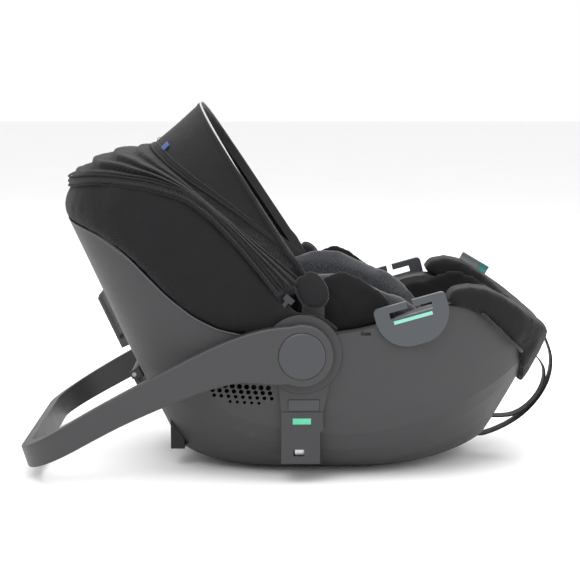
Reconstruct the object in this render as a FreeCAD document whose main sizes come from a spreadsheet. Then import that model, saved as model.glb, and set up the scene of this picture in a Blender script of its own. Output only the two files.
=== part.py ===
import FreeCAD, Part
import functools
import math
import os
import Sketcher

# Infant carrier seat: a rocker-bottomed shell with a swinging carrying handle, padded liners, a harness, belt
# guides and a folding sun canopy.
#
# Frame: X towards the foot end, Y across (negative is the left-hand side), Z up. The origin lies on the flat
# rest zone under the shell, in the middle of its width. Millimetres and degrees.

os.makedirs("parts", exist_ok=True)
doc = FreeCAD.newDocument("InfantCarrier")
VECTOR = FreeCAD.Vector
Y_AXIS = VECTOR(0, 1, 0)

# ---------------------------------------------------------------------------------------------------------
# Driving dimensions
# ---------------------------------------------------------------------------------------------------------

DRIVING = {
    # shell
    "shell_wall": 3.0,
    "shell_half_width": 200.0,
    "crease_half_width": 188.0,
    "base_half_width": 120.0,
    "rear_base_x": -168.0,
    "rear_base_z": 42.0,
    "rear_top_x": -308.0,
    "rear_top_z": 340.0,
    "front_base_x": 277.0,
    "front_base_z": 37.0,
    "front_top_x": 330.0,
    "front_top_z": 137.0,
    "widest_x": 60.0,
    "rest_middle_x": 30.0,
    "rest_half_length": 64.0,
    "rocker_rear_radius": 290.0,
    "rocker_front_radius": 400.0,
    "crease_height": 50.0,
    "vent_hole": 3.4,
    "vent_pitch": 9.5,
    # fits
    "fit_gap": 0.3,
    "run_gap": 0.05,
    # soft layers
    "head_pad": 14.0,
    "cover_pad": 8.0,
    "insert_pad": 18.0,
    "headrest_depth": 24.0,
    "foam_thick": 38.0,
    "strap_thick": 2.0,
    "strap_width": 36.0,
    "roll_proud": 11.0,
    # seat trough
    "trough_half_width": 160.0,
    "trough_low_z": 92.0,
    "trough_round": 55.0,
    # hub and handle
    "hub_x": 14.0,
    "hub_z": 174.0,
    "ear_face": 207.0,
    "ear_round": 52.0,
    "hub_plate_round": 38.0,
    "hub_plate_thick": 2.6,
    "journal_round": 20.0,
    "journal_face": 216.0,
    "gear_round": 13.4,
    "gear_bore": 14.2,
    "handle_face": 222.0,
    "handle_inner_face": 205.2,
    "handle_part_line": 216.0,
    "handle_ring_round": 41.0,
    "handle_reach": 400.0,
    "handle_corner": 80.0,
    "handle_rest_angle": 18.6,
    "button_round": 30.5,
    "button_face": 224.0,
    "button_travel": 4.5,
    "button_skirt": 3.2,
    "screw_round": 2.5,
    "screw_circle": 28.0,
    # belt guides
    "guide_x": 153.0,
    "guide_z": 244.5,
    "guide_tilt": 15.6,
    "guide_length": 97.0,
    "guide_depth": 59.0,
    "guide_face": 205.0,
    "guide_thick": 8.0,
    "guide_slot_length": 58.0,
    "guide_slot_height": 9.0,
    "guide_slot_drop": 9.0,
    "guide_mouth": 8.0,
    "guide_corner": 42.0,
    # adapter socket
    "socket_face": 206.0,
    "socket_left_x": -13.0,
    "socket_right_x": 38.0,
    "socket_foot_z": 28.0,
    "socket_slot_length": 30.0,
    "socket_slot_width": 8.0,
    "socket_slot_depth": 38.0,
    "latch_length": 14.0,
    "latch_height": 9.0,
    "latch_travel": 2.5,
    "latch_tip": 197.3,
    "latch_thick": 6.6,
    # canopy
    "canopy_x": 29.0,
    "canopy_z": 251.0,
    "canopy_round": 288.5,
    "canopy_half_width": 178.3,
    "canopy_cloth": 2.5,
    "bow_width": 12.0,
    "bow_thick": 3.0,
    "front_bow_angle": 123.4,
    "middle_bow_angle": 140.2,
    "pivot_pin_round": 4.0,
    # rear hook, lever, harness furniture
    "hook_width": 62.0,
    "hook_gap": 10.0,
    "hook_length": 78.0,
    "hook_low_z": 160.0,
    "lever_width": 108.0,
    "lever_length": 46.0,
    "lever_top_z": 126.0,
    "lever_pin_round": 3.0,
    "buckle_length": 52.0,
    "buckle_width": 44.0,
    "buckle_height": 20.0,
    "adjuster_width": 44.0,
    "webbing_width": 25.0,
    "webbing_thick": 1.6,
}

sheet = doc.addObject("Spreadsheet::Sheet", "dims")
for row, (alias, value) in enumerate(DRIVING.items(), start=1):
    sheet.set(f"A{row}", alias)
    sheet.set(f"B{row}", str(value))
    sheet.setAlias(f"B{row}", alias)
doc.recompute()


class Sizes:
    """Reads a driving dimension from the sheet by its alias."""

    def __getattr__(self, alias):
        return float(sheet.get(alias))


D = Sizes()
SUB_PARTS = []


def keep(thing, label):
    """Names a finished sub-part and puts it on the export list."""
    thing.Label = label
    SUB_PARTS.append(thing)
    return thing


def solid_feature(name, shape):
    """A plain feature that holds a shape worked out from the sheet."""
    thing = doc.addObject("Part::Feature", name)
    thing.Shape = shape
    return thing


def keep_shape(label, shape):
    """A finished sub-part whose shape is worked out from the sheet."""
    solids = shape.Solids
    whole = solids[0] if len(solids) == 1 else Part.makeCompound(solids)
    return keep(solid_feature("shape_" + label, whole), label)


def mirrored(source, label):
    """The right-hand twin of a left-hand sub-part."""
    twin = doc.addObject("Part::Mirroring", "twin_" + label)
    twin.Source = source
    twin.Normal = Y_AXIS
    return keep(twin, label)


def mirror_shape(shape):
    """The same shape on the other side."""
    return shape.mirror(VECTOR(0, 0, 0), Y_AXIS)


# ---------------------------------------------------------------------------------------------------------
# Plain shapes
# ---------------------------------------------------------------------------------------------------------

REACH = 700.0


def box(low, high):
    """A box between two corners."""
    low, high = VECTOR(*low), VECTOR(*high)
    span = high - low
    return Part.makeBox(span.x, span.y, span.z, low)


def cross_rod(radius, x, z, start_y, end_y):
    """A cylinder along Y."""
    return Part.makeCylinder(radius, end_y - start_y, VECTOR(x, start_y, z), Y_AXIS)


def side_block(points, smooth=False, half_width=REACH / 2):
    """A side outline (x, z) carried across the full width; smooth runs a curve through the points."""
    corners = [VECTOR(x, -half_width, z) for x, z in points]
    if smooth:
        curve = Part.BSplineCurve()
        curve.interpolate(corners)
        edges = [curve.toShape(), Part.makeLine(corners[-1], corners[0])]
    else:
        edges = [Part.makeLine(a, b) for a, b in zip(corners, corners[1:] + corners[:1])]
    return Part.Face(Part.Wire(edges)).extrude(VECTOR(0, 2 * half_width, 0))


def above_line(points, smooth=True):
    """Everything above a side line that runs from the rear to the front, and level beyond its ends."""
    corners = [VECTOR(x, -REACH / 2, z) for x, z in points]
    if smooth:
        curve = Part.BSplineCurve()
        curve.interpolate(corners)
        run = [curve.toShape()]
    else:
        run = [Part.makeLine(a, b) for a, b in zip(corners, corners[1:])]
    rear, front = corners[0], corners[-1]
    loop = [front, VECTOR(REACH, front.y, front.z), VECTOR(REACH, front.y, 2 * REACH),
            VECTOR(-REACH, rear.y, 2 * REACH), VECTOR(-REACH, rear.y, rear.z), rear]
    run += [Part.makeLine(a, b) for a, b in zip(loop, loop[1:])]
    return Part.Face(Part.Wire(run)).extrude(VECTOR(0, REACH, 0))


def plan_block(points):
    """A plan outline (x, y) carried through the full height."""
    corners = [VECTOR(x, y, 0) for x, y in points]
    edges = [Part.makeLine(a, b) for a, b in zip(corners, corners[1:] + corners[:1])]
    return Part.Face(Part.Wire(edges)).extrude(VECTOR(0, 0, REACH))


# ---------------------------------------------------------------------------------------------------------
# The hull: closed rings round the shell, each a rounded plan outline whose ends rise with the rocker
# ---------------------------------------------------------------------------------------------------------

RING_POINTS = 24
REAR_POWER = 3.1
FRONT_POWER = 2.45


def wall_x(height, low_x, low_z, high_x, high_z):
    """Where a straight sloping end wall stands at a height."""
    return low_x + (high_x - low_x) * (height - low_z) / (high_z - low_z)


def rear_wall(height):
    return wall_x(height, D.rear_base_x, D.rear_base_z, D.rear_top_x, D.rear_top_z)


def front_wall(height):
    return wall_x(height, D.front_base_x, D.front_base_z, D.front_top_x, D.front_top_z)


def rocker(x):
    """Height of the rocker's underside: flat in the rest zone and an arc beyond it."""
    past = max(0.0, abs(x - D.rest_middle_x) - D.rest_half_length)
    radius = D.rocker_rear_radius if x < D.rest_middle_x else D.rocker_front_radius
    return past * past / (2 * radius)


def rise(x, base, bend):
    """Height of a ring that bends up towards both ends."""
    return base + bend * (x - D.widest_x) ** 2


def settle(wall, height):
    """The end of a ring: where its own height meets the end wall."""
    x = wall(0)
    for _ in range(40):
        x = 0.5 * (x + wall(height(x)))
    return x


def ring(rear, front, half, height):
    """One closed ring; height is a function of x."""
    points = []
    for step in range(RING_POINTS):
        turn = 2 * math.pi * step / RING_POINTS
        c, s = math.cos(turn), math.sin(turn)
        power = FRONT_POWER if c > 0 else REAR_POWER
        out = (abs(c) ** power + abs(s) ** power) ** (-1 / power)
        x = D.widest_x + (front - D.widest_x if c > 0 else D.widest_x - rear) * c * out
        points.append(VECTOR(x, half * s * out, height(x)))
    curve = Part.BSplineCurve()
    curve.interpolate(points, PeriodicFlag=True)
    return Part.Wire([curve.toShape()])


def smooth_rows(rows, count):
    """Rows of three values, evened out to count rows along one smooth curve."""
    curve = Part.BSplineCurve()
    curve.interpolate([VECTOR(*row) for row in rows])
    first, last = curve.FirstParameter, curve.LastParameter
    return [curve.value(first + (last - first) * step / (count - 1)) for step in range(count)]


BEND_SCALE = 1e4
SIDE_RINGS = 16
HEAD_RINGS = 6


def side_rows():
    """Half width, height in the middle, and bend towards the ends of the rings up the shell's side."""
    return smooth_rows((
        (D.base_half_width, 5, 0),
        (0.46 * D.base_half_width + 0.55 * D.crease_half_width, 0.42 * D.crease_height, 6),
        (D.crease_half_width, D.crease_height, 14),
        (D.shell_half_width - 3, D.crease_height + 38, 11),
        (D.shell_half_width + 1, D.crease_height + 92, 6),
        (D.shell_half_width + 1, D.crease_height + 160, 2),
        (D.shell_half_width - 1, D.crease_height + 230, 0),
        (D.shell_half_width - 5, D.rear_top_z, 0),
    ), SIDE_RINGS)


@functools.lru_cache(maxsize=None)
def hull(inset):
    """The solid inside the shell's outer face, moved in by inset (out where it is negative)."""
    slant = 1.1 * inset
    rings = [
        ring(D.rest_middle_x - D.rest_half_length + inset, D.rest_middle_x + D.rest_half_length - inset,
             0.7 * D.base_half_width - inset, lambda x: inset),
        ring(0.82 * D.rear_base_x + inset, 0.82 * D.front_base_x - inset,
             0.9 * D.base_half_width - inset, lambda x: rocker(x) + 2 + inset),
    ]
    for row in side_rows():
        low_share = max(0.0, 1 - row.y / D.crease_height)
        lift = inset * low_share

        def height(x, row=row, low_share=low_share, lift=lift):
            return row.y + lift + row.z / BEND_SCALE * (x - D.widest_x) ** 2 + 0.9 * low_share * rocker(x)

        rings.append(ring(settle(rear_wall, height) + slant, settle(front_wall, height) - slant,
                          row.x - inset, height))
    head = (
        (D.rear_top_z, D.rear_top_x, D.shell_half_width - 5),
        (D.rear_top_z + 28, D.rear_top_x - 4, D.shell_half_width - 7),
        (D.rear_top_z + 48, D.rear_top_x + 6, D.shell_half_width - 10),
        (D.rear_top_z + 70, D.rear_top_x + 25, D.shell_half_width - 14),
    )
    for row in smooth_rows(head, HEAD_RINGS)[1:]:
        stretch = inset * (row.x - D.rear_top_z) / 70
        rings.append(ring(row.y + slant, front_wall(D.rear_top_z) - slant, row.z - inset,
                          lambda x, level=row.x + stretch: level))
    return Part.makeLoft(rings, True, True)


def flank(gap):
    """The shell's widest cross-section, grown by gap and carried along X."""
    half = [VECTOR(-REACH, row.x + gap, row.y) for row in side_rows()]
    corners = half + [VECTOR(spot.x, -spot.y, spot.z) for spot in reversed(half)]
    edges = [Part.makeLine(a, b) for a, b in zip(corners, corners[1:] + corners[:1])]
    return Part.Face(Part.Wire(edges)).extrude(VECTOR(2 * REACH, 0, 0))


# ---------------------------------------------------------------------------------------------------------
# The seat trough: a reclined hollow with a rounded floor, lofted from stations along X
# ---------------------------------------------------------------------------------------------------------

TROUGH_STATIONS = 22
# x, floor height over its lowest point, share of the half width
TROUGH = ((-305, 303, 0.66), (-262, 262, 0.78), (-200, 202, 0.88), (-130, 135, 0.97), (-60, 72, 1.0),
          (10, 20, 1.0), (70, 0, 1.0), (140, 8, 0.98), (210, 38, 0.92), (270, 78, 0.8), (315, 118, 0.62),
          (350, 155, 0.45))


def trough_rows():
    return smooth_rows(TROUGH, TROUGH_STATIONS)


@functools.lru_cache(maxsize=None)
def trough(inset):
    """The hollow above the seat surface, drawn in by inset."""
    rows = trough_rows()
    wires = []
    for number, row in enumerate(rows):
        before, after = rows[max(0, number - 1)], rows[min(len(rows) - 1, number + 1)]
        slope = (after.y - before.y) / (after.x - before.x)
        floor = D.trough_low_z + row.y + inset * math.hypot(1, slope)
        half = row.z * D.trough_half_width - inset
        turn = max(8.0, D.trough_round - inset)
        side, low = math.sqrt(0.5) * turn, floor + turn
        left_mid = VECTOR(row.x, -half + turn - side, low - side)
        right_mid = VECTOR(row.x, half - turn + side, low - side)
        corner = [VECTOR(row.x, -half, REACH), VECTOR(row.x, -half, low), VECTOR(row.x, -half + turn, floor),
                  VECTOR(row.x, half - turn, floor), VECTOR(row.x, half, low), VECTOR(row.x, half, REACH)]
        edges = [Part.makeLine(corner[0], corner[1]),
                 Part.Arc(corner[1], left_mid, corner[2]).toShape(),
                 Part.makeLine(corner[2], corner[3]),
                 Part.Arc(corner[3], right_mid, corner[4]).toShape(),
                 Part.makeLine(corner[4], corner[5]),
                 Part.makeLine(corner[5], corner[0])]
        wires.append(Part.Wire(edges))
    return Part.makeLoft(wires, True, True)


def seat_height(x, inset):
    """Height of the seat surface, drawn in by inset, at a place along the middle."""
    rows = trough_rows()
    for before, after in zip(rows, rows[1:]):
        if before.x <= x <= after.x:
            share = (x - before.x) / (after.x - before.x)
            slope = (after.y - before.y) / (after.x - before.x)
            return D.trough_low_z + before.y + share * (after.y - before.y) + inset * math.hypot(1, slope)
    raise ValueError("outside the seat")


def seat_layer(near, far):
    """A layer that lies on the seat surface between two insets."""
    return trough(near).cut(trough(far))


# ---------------------------------------------------------------------------------------------------------
# Side lines of the shell's rim, the zip above it, and the padded parts
# ---------------------------------------------------------------------------------------------------------

RIM = ((-345, 360), (-308, 341), (-260, 325), (-216, 297), (-164, 247), (-129, 221), (-98, 206), (-60, 198),
       (0, 196), (66, 200), (105, 207), (150, 222), (206, 236), (243, 226), (283, 196), (311, 162), (331, 136),
       (350, 104))
ZIP = ((-345, 386), (-300, 396), (-255, 405), (-185, 398), (-138, 385), (-106, 362), (-67, 322), (-38, 287),
       (-11, 254), (-3, 243))


def raised(line, lift):
    return [(x, z + lift) for x, z in line]


def below_rim(shape, drop):
    """What lies under the rim line lowered by drop."""
    return shape.cut(above_line(raised(RIM, -drop)))


def left_cuts(shape, tools):
    """Cuts the tools and their mirror images."""
    for tool in tools:
        shape = shape.cut([tool, mirror_shape(tool)])
    return shape


def hub_rod(radius, inner, outer):
    """A disc or rod on the left hub's axis between two distances from the middle."""
    return cross_rod(radius, D.hub_x, D.hub_z, -outer, -inner)


def hub_spots(radius, inner, outer):
    """Three rods round the left hub, on the screw circle."""
    spots = []
    for turn in (90, 210, 330):
        angle = math.radians(turn)
        x = D.hub_x + D.screw_circle * math.cos(angle)
        z = D.hub_z + D.screw_circle * math.sin(angle)
        spots.append(cross_rod(radius, x, z, -outer, -inner))
    return spots


def guide_blank(gap, inner, outer):
    """The rounded outline of the left belt guide, grown by gap, between two distances from the middle."""
    half = D.guide_length / 2 + gap
    blank = box((-half, -outer, -D.guide_depth - gap), (half, -inner, gap))
    low = [edge for edge in blank.Edges
           if edge.BoundBox.YLength > 1 and edge.BoundBox.ZMax < -D.guide_depth / 2]
    blank = blank.makeFillet(D.guide_corner + gap, low)
    blank.rotate(VECTOR(0, 0, 0), Y_AXIS, -D.guide_tilt)
    blank.translate(VECTOR(D.guide_x, 0, D.guide_z))
    return blank


RIM_HOOK_X, RIM_HOOK_Z = 91.0, 198.2
BOSS_ROUND = 20.0
BOSS_FACE = 195.0
POCKET_FLOOR = 198.0
EAR_INNER = 198.4
SPRING_ROUND = 10.5
SPRING_WIRE = 0.8


def vent_holes():
    """A slanted block of round holes behind the left hub that get smaller towards its lower edge."""
    holes = []
    for column in range(9):
        for row in range(4):
            x = -106 + D.vent_pitch * column + 2.2 * row
            z = 131 - 7.2 * row - 0.35 * column
            if row * 2.3 < 9 - abs(column - 4) * 0.9 and row + 0.45 * column < 6.2:
                radius = D.vent_hole * (1 - 0.13 * row)
                holes.append(cross_rod(radius, x, z, -REACH / 2, -150))
    return holes


def make_shell():
    """The outer shell with its hub ears, belt-guide seats, screw holes and vents."""
    shell = below_rim(hull(0), 0).cut(hull(D.shell_wall))
    ears = [hub_rod(D.ear_round, EAR_INNER, D.ear_face), hub_rod(BOSS_ROUND, BOSS_FACE, D.ear_face)]
    shell = shell.fuse(ears + [mirror_shape(ear) for ear in ears])
    cuts = [hub_rod(D.gear_bore, POCKET_FLOOR, D.ear_face + 1)]
    cuts += hub_spots(D.screw_round + 0.1, 190, D.ear_face + 1)
    cuts.append(guide_blank(D.fit_gap, D.guide_face - D.guide_thick - D.fit_gap, 230))
    cuts += [box((RIM_HOOK_X, -230, RIM_HOOK_Z), (RIM_HOOK_X + 13, -190, RIM_HOOK_Z + 4)),
             box((RIM_HOOK_X, -230, RIM_HOOK_Z), (RIM_HOOK_X + 3.5, -190, RIM_HOOK_Z + 14))]
    shell = left_cuts(shell, cuts)
    holes = vent_holes()
    return shell.cut(holes + [mirror_shape(hole) for hole in holes]).removeSplitter()


keep_shape("outer_shell", make_shell())


def bracket_room(gap):
    """The space that the left canopy bracket takes up, grown by gap."""
    plate = box((D.canopy_x - 15 - gap, -182.6 - gap, 185 - gap), (D.canopy_x + 15 + gap, -178.6 + gap, 266))
    flange = box((D.canopy_x - 15 - gap, -BOSS_FACE + D.fit_gap, 185 - gap),
                 (D.canopy_x + 15 + gap, -178.6 + gap, 194 + gap))
    return plate.fuse(flange)


FOAM_TOP = ((-345, 380), (-300, 390), (-255, 399), (-185, 391), (-138, 368), (-106, 342), (-67, 302),
            (-38, 275), (-14, 250), (-4, 222), (6, 190), (60, 150), (400, 60))


def make_foam():
    """The impact foam between the shell and the seat trough."""
    low = below_rim(hull(D.shell_wall + D.fit_gap), 1.2)
    high = hull(D.head_pad + D.fit_gap).cut(above_line(FOAM_TOP, False))
    foam = low.fuse(high).common(trough(-D.foam_thick)).cut(trough(0))
    rooms = [hub_rod(42, 192.5, 230), bracket_room(D.fit_gap)]
    return left_cuts(foam, rooms)


keep_shape("foam_liner", make_foam())


def make_head_cover():
    """The padded cover round the head end, from the rim up to the zip."""
    ring_pad = hull(0).cut(hull(D.head_pad))
    outline = list(ZIP) + [(8, 230), (40, 222), (62, 205), (62, 150), (-345, 150)]
    cover = ring_pad.common(side_block(outline))
    cover = cover.common(above_line(raised(RIM, D.fit_gap)))
    return left_cuts(cover, [hub_rod(D.ear_round + D.fit_gap, BOSS_FACE - D.fit_gap, 230)])


keep_shape("head_cover", make_head_cover())

ROLL = ((207, 236.8), (204, 248), (214, 258), (235, 260.5), (256, 257), (276, 246.5), (296, 233.5), (313, 220),
        (330, 206), (346, 193), (362, 176), (362, 150), (354, 128), (340, 109), (316, 109), (310.5, 164),
        (284, 198), (243.5, 228))


def make_front_cover():
    """The padded roll over the foot end, with its hem hanging in front of the shell."""
    roll = hull(-D.roll_proud).common(side_block(ROLL))
    inside = hull(-D.fit_gap).cut(above_line(raised(RIM, D.fit_gap)))
    roll = roll.cut(inside).cut(trough(0))
    return left_cuts(roll, [guide_blank(D.fit_gap, 190, 230)])


keep_shape("front_cover", make_front_cover())

COVER_TOP = ((-345, 372), (-300, 382), (-255, 391), (-185, 383), (-138, 358), (-106, 332), (-67, 292),
             (-38, 266), (-8, 246), (30, 260), (53, 269), (69, 274), (91, 265), (118, 246), (134, 228), (160, 222),
             (206, 230), (245, 248), (275, 238), (311, 214), (350, 186))


def make_seat_cover():
    """The padded lining of the seat trough."""
    cover = seat_layer(D.fit_gap, D.fit_gap + D.cover_pad)
    cover = cover.cut(above_line(COVER_TOP, False))
    return cover.common(hull(D.head_pad + D.fit_gap))


keep_shape("seat_cover", make_seat_cover())

WING = ((8, 0), (8, 225), (16, 246), (30, 262), (53, 274), (69, 279), (91, 270), (118, 251), (131, 238),
        (141, 214), (141, 0))


def make_wing():
    """The left side bolster that stands on the foam beside the hips."""
    wing = side_block(WING).common(box((-REACH, -166.5, 0), (REACH, -D.trough_half_width - 0.4, REACH)))
    return wing.common(above_line(raised(RIM, -0.9)))


left_wing = keep_shape("side_wing_left", make_wing())
mirrored(left_wing, "side_wing_right")

INSERT_NEAR = D.cover_pad + 2 * D.fit_gap
INSERT_FAR = INSERT_NEAR + D.insert_pad
INSERT_SIDE = ((-120, 0), (-120, 262), (-60, 256), (-20, 262), (9, 269), (38, 277), (74, 276), (107, 262),
               (148, 244), (176, 224), (200, 190), (213, 150), (213, 0))
HEADREST_SIDE = ((-262, 0), (-262, 384), (-200, 372), (-150, 348), (-124, 318), (-124, 0))
headrest_far = INSERT_NEAR + D.headrest_depth
keep_shape("infant_insert", seat_layer(INSERT_NEAR, INSERT_FAR).common(side_block(INSERT_SIDE)))
keep_shape("headrest_pad", seat_layer(INSERT_NEAR, headrest_far).common(side_block(HEADREST_SIDE)))

# ---------------------------------------------------------------------------------------------------------
# Harness
# ---------------------------------------------------------------------------------------------------------

STRAP_START, STRAP_END = -117.0, 46.0
STRAP_WIDE_Y, STRAP_NEAR_Y = 46.0, 22.0


def strap_middle(x):
    """How far from the middle the left strap runs at a place along the seat."""
    share = (x - STRAP_START) / (STRAP_END - STRAP_START)
    return STRAP_WIDE_Y + share * (STRAP_NEAR_Y - STRAP_WIDE_Y)


def strap_strip(width, start, end):
    """The plan strip of the left shoulder strap."""
    half = width / 2
    return plan_block([(start, -strap_middle(start) - half), (end, -strap_middle(end) - half),
                       (end, -strap_middle(end) + half), (start, -strap_middle(start) + half)])


STRAP_NEAR = INSERT_FAR + D.fit_gap
STRAP_FAR = STRAP_NEAR + D.strap_thick
PAD_THICK = 9.0
strap_layer = seat_layer(STRAP_NEAR, STRAP_FAR)
pad_layer = seat_layer(STRAP_FAR + D.fit_gap, STRAP_FAR + D.fit_gap + PAD_THICK)
strap_band = strap_strip(D.strap_width, STRAP_START, STRAP_END)
left_strap = keep_shape("shoulder_strap_left", strap_layer.common(strap_band))
mirrored(left_strap, "shoulder_strap_right")
left_pad = keep_shape("shoulder_pad_left", pad_layer.common(strap_strip(D.strap_width + 14, -108, -28)))
mirrored(left_pad, "shoulder_pad_right")

CROTCH_START, CROTCH_END, CROTCH_HALF, CROTCH_THICK = 62.0, 128.0, 27.0, 8.0
crotch_far = STRAP_NEAR + CROTCH_THICK
crotch_block = box((CROTCH_START, -CROTCH_HALF, 0), (CROTCH_END, CROTCH_HALF, REACH))
keep_shape("crotch_pad", seat_layer(STRAP_NEAR, crotch_far).common(crotch_block))


# ---------------------------------------------------------------------------------------------------------
# Bound sketches and bodies
# ---------------------------------------------------------------------------------------------------------

def value_of(formula):
    return float(sheet.evalExpression(formula))


def new_body(x, y, z, turn_axis=None, turn=None):
    """A body whose place is bound to sheet formulas."""
    body = doc.addObject("PartDesign::Body", "Body")
    if turn_axis is not None:
        body.Placement = FreeCAD.Placement(VECTOR(), FreeCAD.Rotation(turn_axis, value_of(turn)))
        body.setExpression("Placement.Rotation.Angle", turn)
    for letter, formula in zip("xyz", (x, y, z)):
        body.setExpression(f"Placement.Base.{letter}", formula)
    return body


def new_sketch(body, role):
    sketch = body.newObject("Sketcher::SketchObject", "Sketch")
    plane = next(item for item in body.Origin.OriginFeatures if item.Role == role)
    sketch.AttachmentSupport = (plane, [""])
    sketch.MapMode = "FlatFace"
    return sketch


def pin_point(sketch, geometry, place, pair):
    """Ties one point of a sketch to a pair of sheet formulas."""
    for kind, axis, formula in (("DistanceX", -2, pair[0]), ("DistanceY", -1, pair[1])):
        if formula == "0":
            sketch.addConstraint(Sketcher.Constraint("PointOnObject", geometry, place, axis))
        else:
            number = sketch.addConstraint(
                Sketcher.Constraint(kind, -1, 1, geometry, place, value_of(formula)))
            sketch.setExpression(f"Constraints[{number}]", formula)


def outline_sketch(body, role, vertices):
    """A closed outline of straight sides whose corners are pairs of sheet formulas."""
    sketch = new_sketch(body, role)
    spots = [VECTOR(value_of(a), value_of(b), 0) for a, b in vertices]
    for start, end in zip(spots, spots[1:] + spots[:1]):
        sketch.addGeometry(Part.LineSegment(start, end), False)
    count = len(vertices)
    for number in range(count):
        sketch.addConstraint(Sketcher.Constraint("Coincident", number, 2, (number + 1) % count, 1))
    for number, pair in enumerate(vertices):
        pin_point(sketch, number, 1, pair)
    return sketch


def circle_sketch(body, role, circles):
    """Circles given as centre and radius formulas."""
    sketch = new_sketch(body, role)
    for number, (x, y, radius) in enumerate(circles):
        centre = VECTOR(value_of(x), value_of(y), 0)
        sketch.addGeometry(Part.Circle(centre, VECTOR(0, 0, 1), value_of(radius)), False)
        pin_point(sketch, number, 3, (x, y))
        bound = sketch.addConstraint(Sketcher.Constraint("Radius", number, value_of(radius)))
        sketch.setExpression(f"Constraints[{bound}]", radius)
    return sketch


def rectangle(left, right, low, high):
    return [(left, low), (right, low), (right, high), (left, high)]


def pad(body, sketch, length):
    feature = body.newObject("PartDesign::Pad", "Pad")
    feature.Profile = sketch
    feature.setExpression("Length", length)
    doc.recompute()
    return feature


def pocket(body, sketch, length=None):
    """Cuts a sketch right through, or to a depth on the side that the solid is on."""
    before = body.Shape.Volume
    feature = body.newObject("PartDesign::Pocket", "Pocket")
    feature.Profile = sketch
    if length is None:
        feature.Type = "ThroughAll"
        feature.Midplane = True
    else:
        feature.Reversed = True
        feature.setExpression("Length", length)
    doc.recompute()
    if body.Shape.Volume > before - 0.5:
        raise ValueError(f"a pocket cut nothing in {body.Name}")
    return feature


def revolution(body, sketch):
    """Turns a profile about the sketch's upright axis."""
    feature = body.newObject("PartDesign::Revolution", "Revolution")
    feature.Profile = sketch
    feature.ReferenceAxis = (sketch, ["V_Axis"])
    feature.Angle = 360
    doc.recompute()
    return feature


def fillet(body, radius, chosen):
    """Rounds the edges that a test picks."""
    doc.recompute()
    base = body.Tip
    names = [f"Edge{number}" for number, edge in enumerate(base.Shape.Edges, start=1) if chosen(edge)]
    feature = body.newObject("PartDesign::Fillet", "Fillet")
    feature.Base = (base, names)
    feature.setExpression("Radius", radius)
    doc.recompute()
    return feature


# ---------------------------------------------------------------------------------------------------------
# Belt guides
# ---------------------------------------------------------------------------------------------------------


def make_guide():
    """The left belt guide: a rounded plate with a hooked slot that a lap belt drops into."""
    body = new_body("dims.guide_x", "-dims.guide_face + dims.guide_thick", "dims.guide_z", Y_AXIS,
                    "-dims.guide_tilt")
    half = "dims.guide_length / 2"
    plate = outline_sketch(body, "XZ_Plane", rectangle("-" + half, half, "-dims.guide_depth", "0"))
    pad(body, plate, "dims.guide_thick")
    fillet(body, "dims.guide_corner", lambda edge: edge.BoundBox.YLength > 5
           and edge.BoundBox.ZMax < -D.guide_depth / 2)
    fillet(body, "6", lambda edge: edge.BoundBox.YLength > 5 and edge.BoundBox.ZMin > -1)
    slot, mouth = "dims.guide_slot_length / 2", "dims.guide_mouth / 2"
    top, low = "-dims.guide_slot_drop", "-dims.guide_slot_drop - dims.guide_slot_height"
    pocket(body, outline_sketch(body, "XZ_Plane", [
        ("-" + slot, low), (slot, low), (slot, top), (mouth, top), (mouth, "4"), ("-" + mouth, "4"),
        ("-" + mouth, top), ("-" + slot, top)]))
    return body


left_guide = keep(make_guide(), "belt_guide_left")
mirrored(left_guide, "belt_guide_right")


def make_marker():
    """The thin coloured strip under the left guide's slot."""
    body = new_body("dims.guide_x", "-dims.guide_face", "dims.guide_z", Y_AXIS, "-dims.guide_tilt")
    top = "-dims.guide_slot_drop - dims.guide_slot_height - 3"
    strip = outline_sketch(body, "XZ_Plane", rectangle("-26", "26", top + " - 4.5", top))
    pad(body, strip, "0.7")
    return body


left_marker = keep(make_marker(), "guide_marker_left")
mirrored(left_marker, "guide_marker_right")

# ---------------------------------------------------------------------------------------------------------
# Hubs
# ---------------------------------------------------------------------------------------------------------


def make_hub_plate():
    """The left bearing plate: a flange on the ear and a hollow journal that the handle turns on."""
    body = new_body("dims.hub_x", "0", "dims.hub_z")
    flange = "-dims.ear_face - dims.hub_plate_thick"
    profile = outline_sketch(body, "XY_Plane", [
        ("dims.gear_bore", "-dims.ear_face"), ("dims.hub_plate_round", "-dims.ear_face"),
        ("dims.hub_plate_round", flange), ("dims.journal_round", flange),
        ("dims.journal_round", "-dims.journal_face"), ("dims.gear_bore", "-dims.journal_face")])
    revolution(body, profile)
    spots = []
    for turn in (90, 210, 330):
        spots.append((f"dims.screw_circle * cos({turn} deg)", f"dims.screw_circle * sin({turn} deg)",
                      "dims.screw_round + 0.1"))
    pocket(body, circle_sketch(body, "XZ_Plane", spots))
    return body


left_plate = keep(make_hub_plate(), "hub_plate_left")
mirrored(left_plate, "hub_plate_right")

plate_face = D.ear_face + D.hub_plate_thick
screws = []
for shank, head in zip(hub_spots(D.screw_round, EAR_INNER - 1.5, plate_face - 0.2),
                       hub_spots(1.8 * D.screw_round, EAR_INNER - 3.4, EAR_INNER - 1.2)):
    screws.append(shank.fuse(head))
keep_shape("hub_screws", Part.makeCompound(screws + [mirror_shape(screw) for screw in screws]))


def make_button():
    """The left release button: a shallow cap over the hub with a stem that carries the lock gear."""
    body = new_body("dims.hub_x", "0", "dims.hub_z")
    skirt = "-dims.button_face + dims.button_skirt"
    profile = outline_sketch(body, "XY_Plane", [
        ("0", "-dims.ear_face - 5"), ("12", "-dims.ear_face - 5"), ("12", skirt), ("dims.button_round", skirt),
        ("dims.button_round", "-dims.button_face + 1"), ("dims.button_round - 1.6", "-dims.button_face"),
        ("0", "-dims.button_face")])
    revolution(body, profile)
    return body


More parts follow.
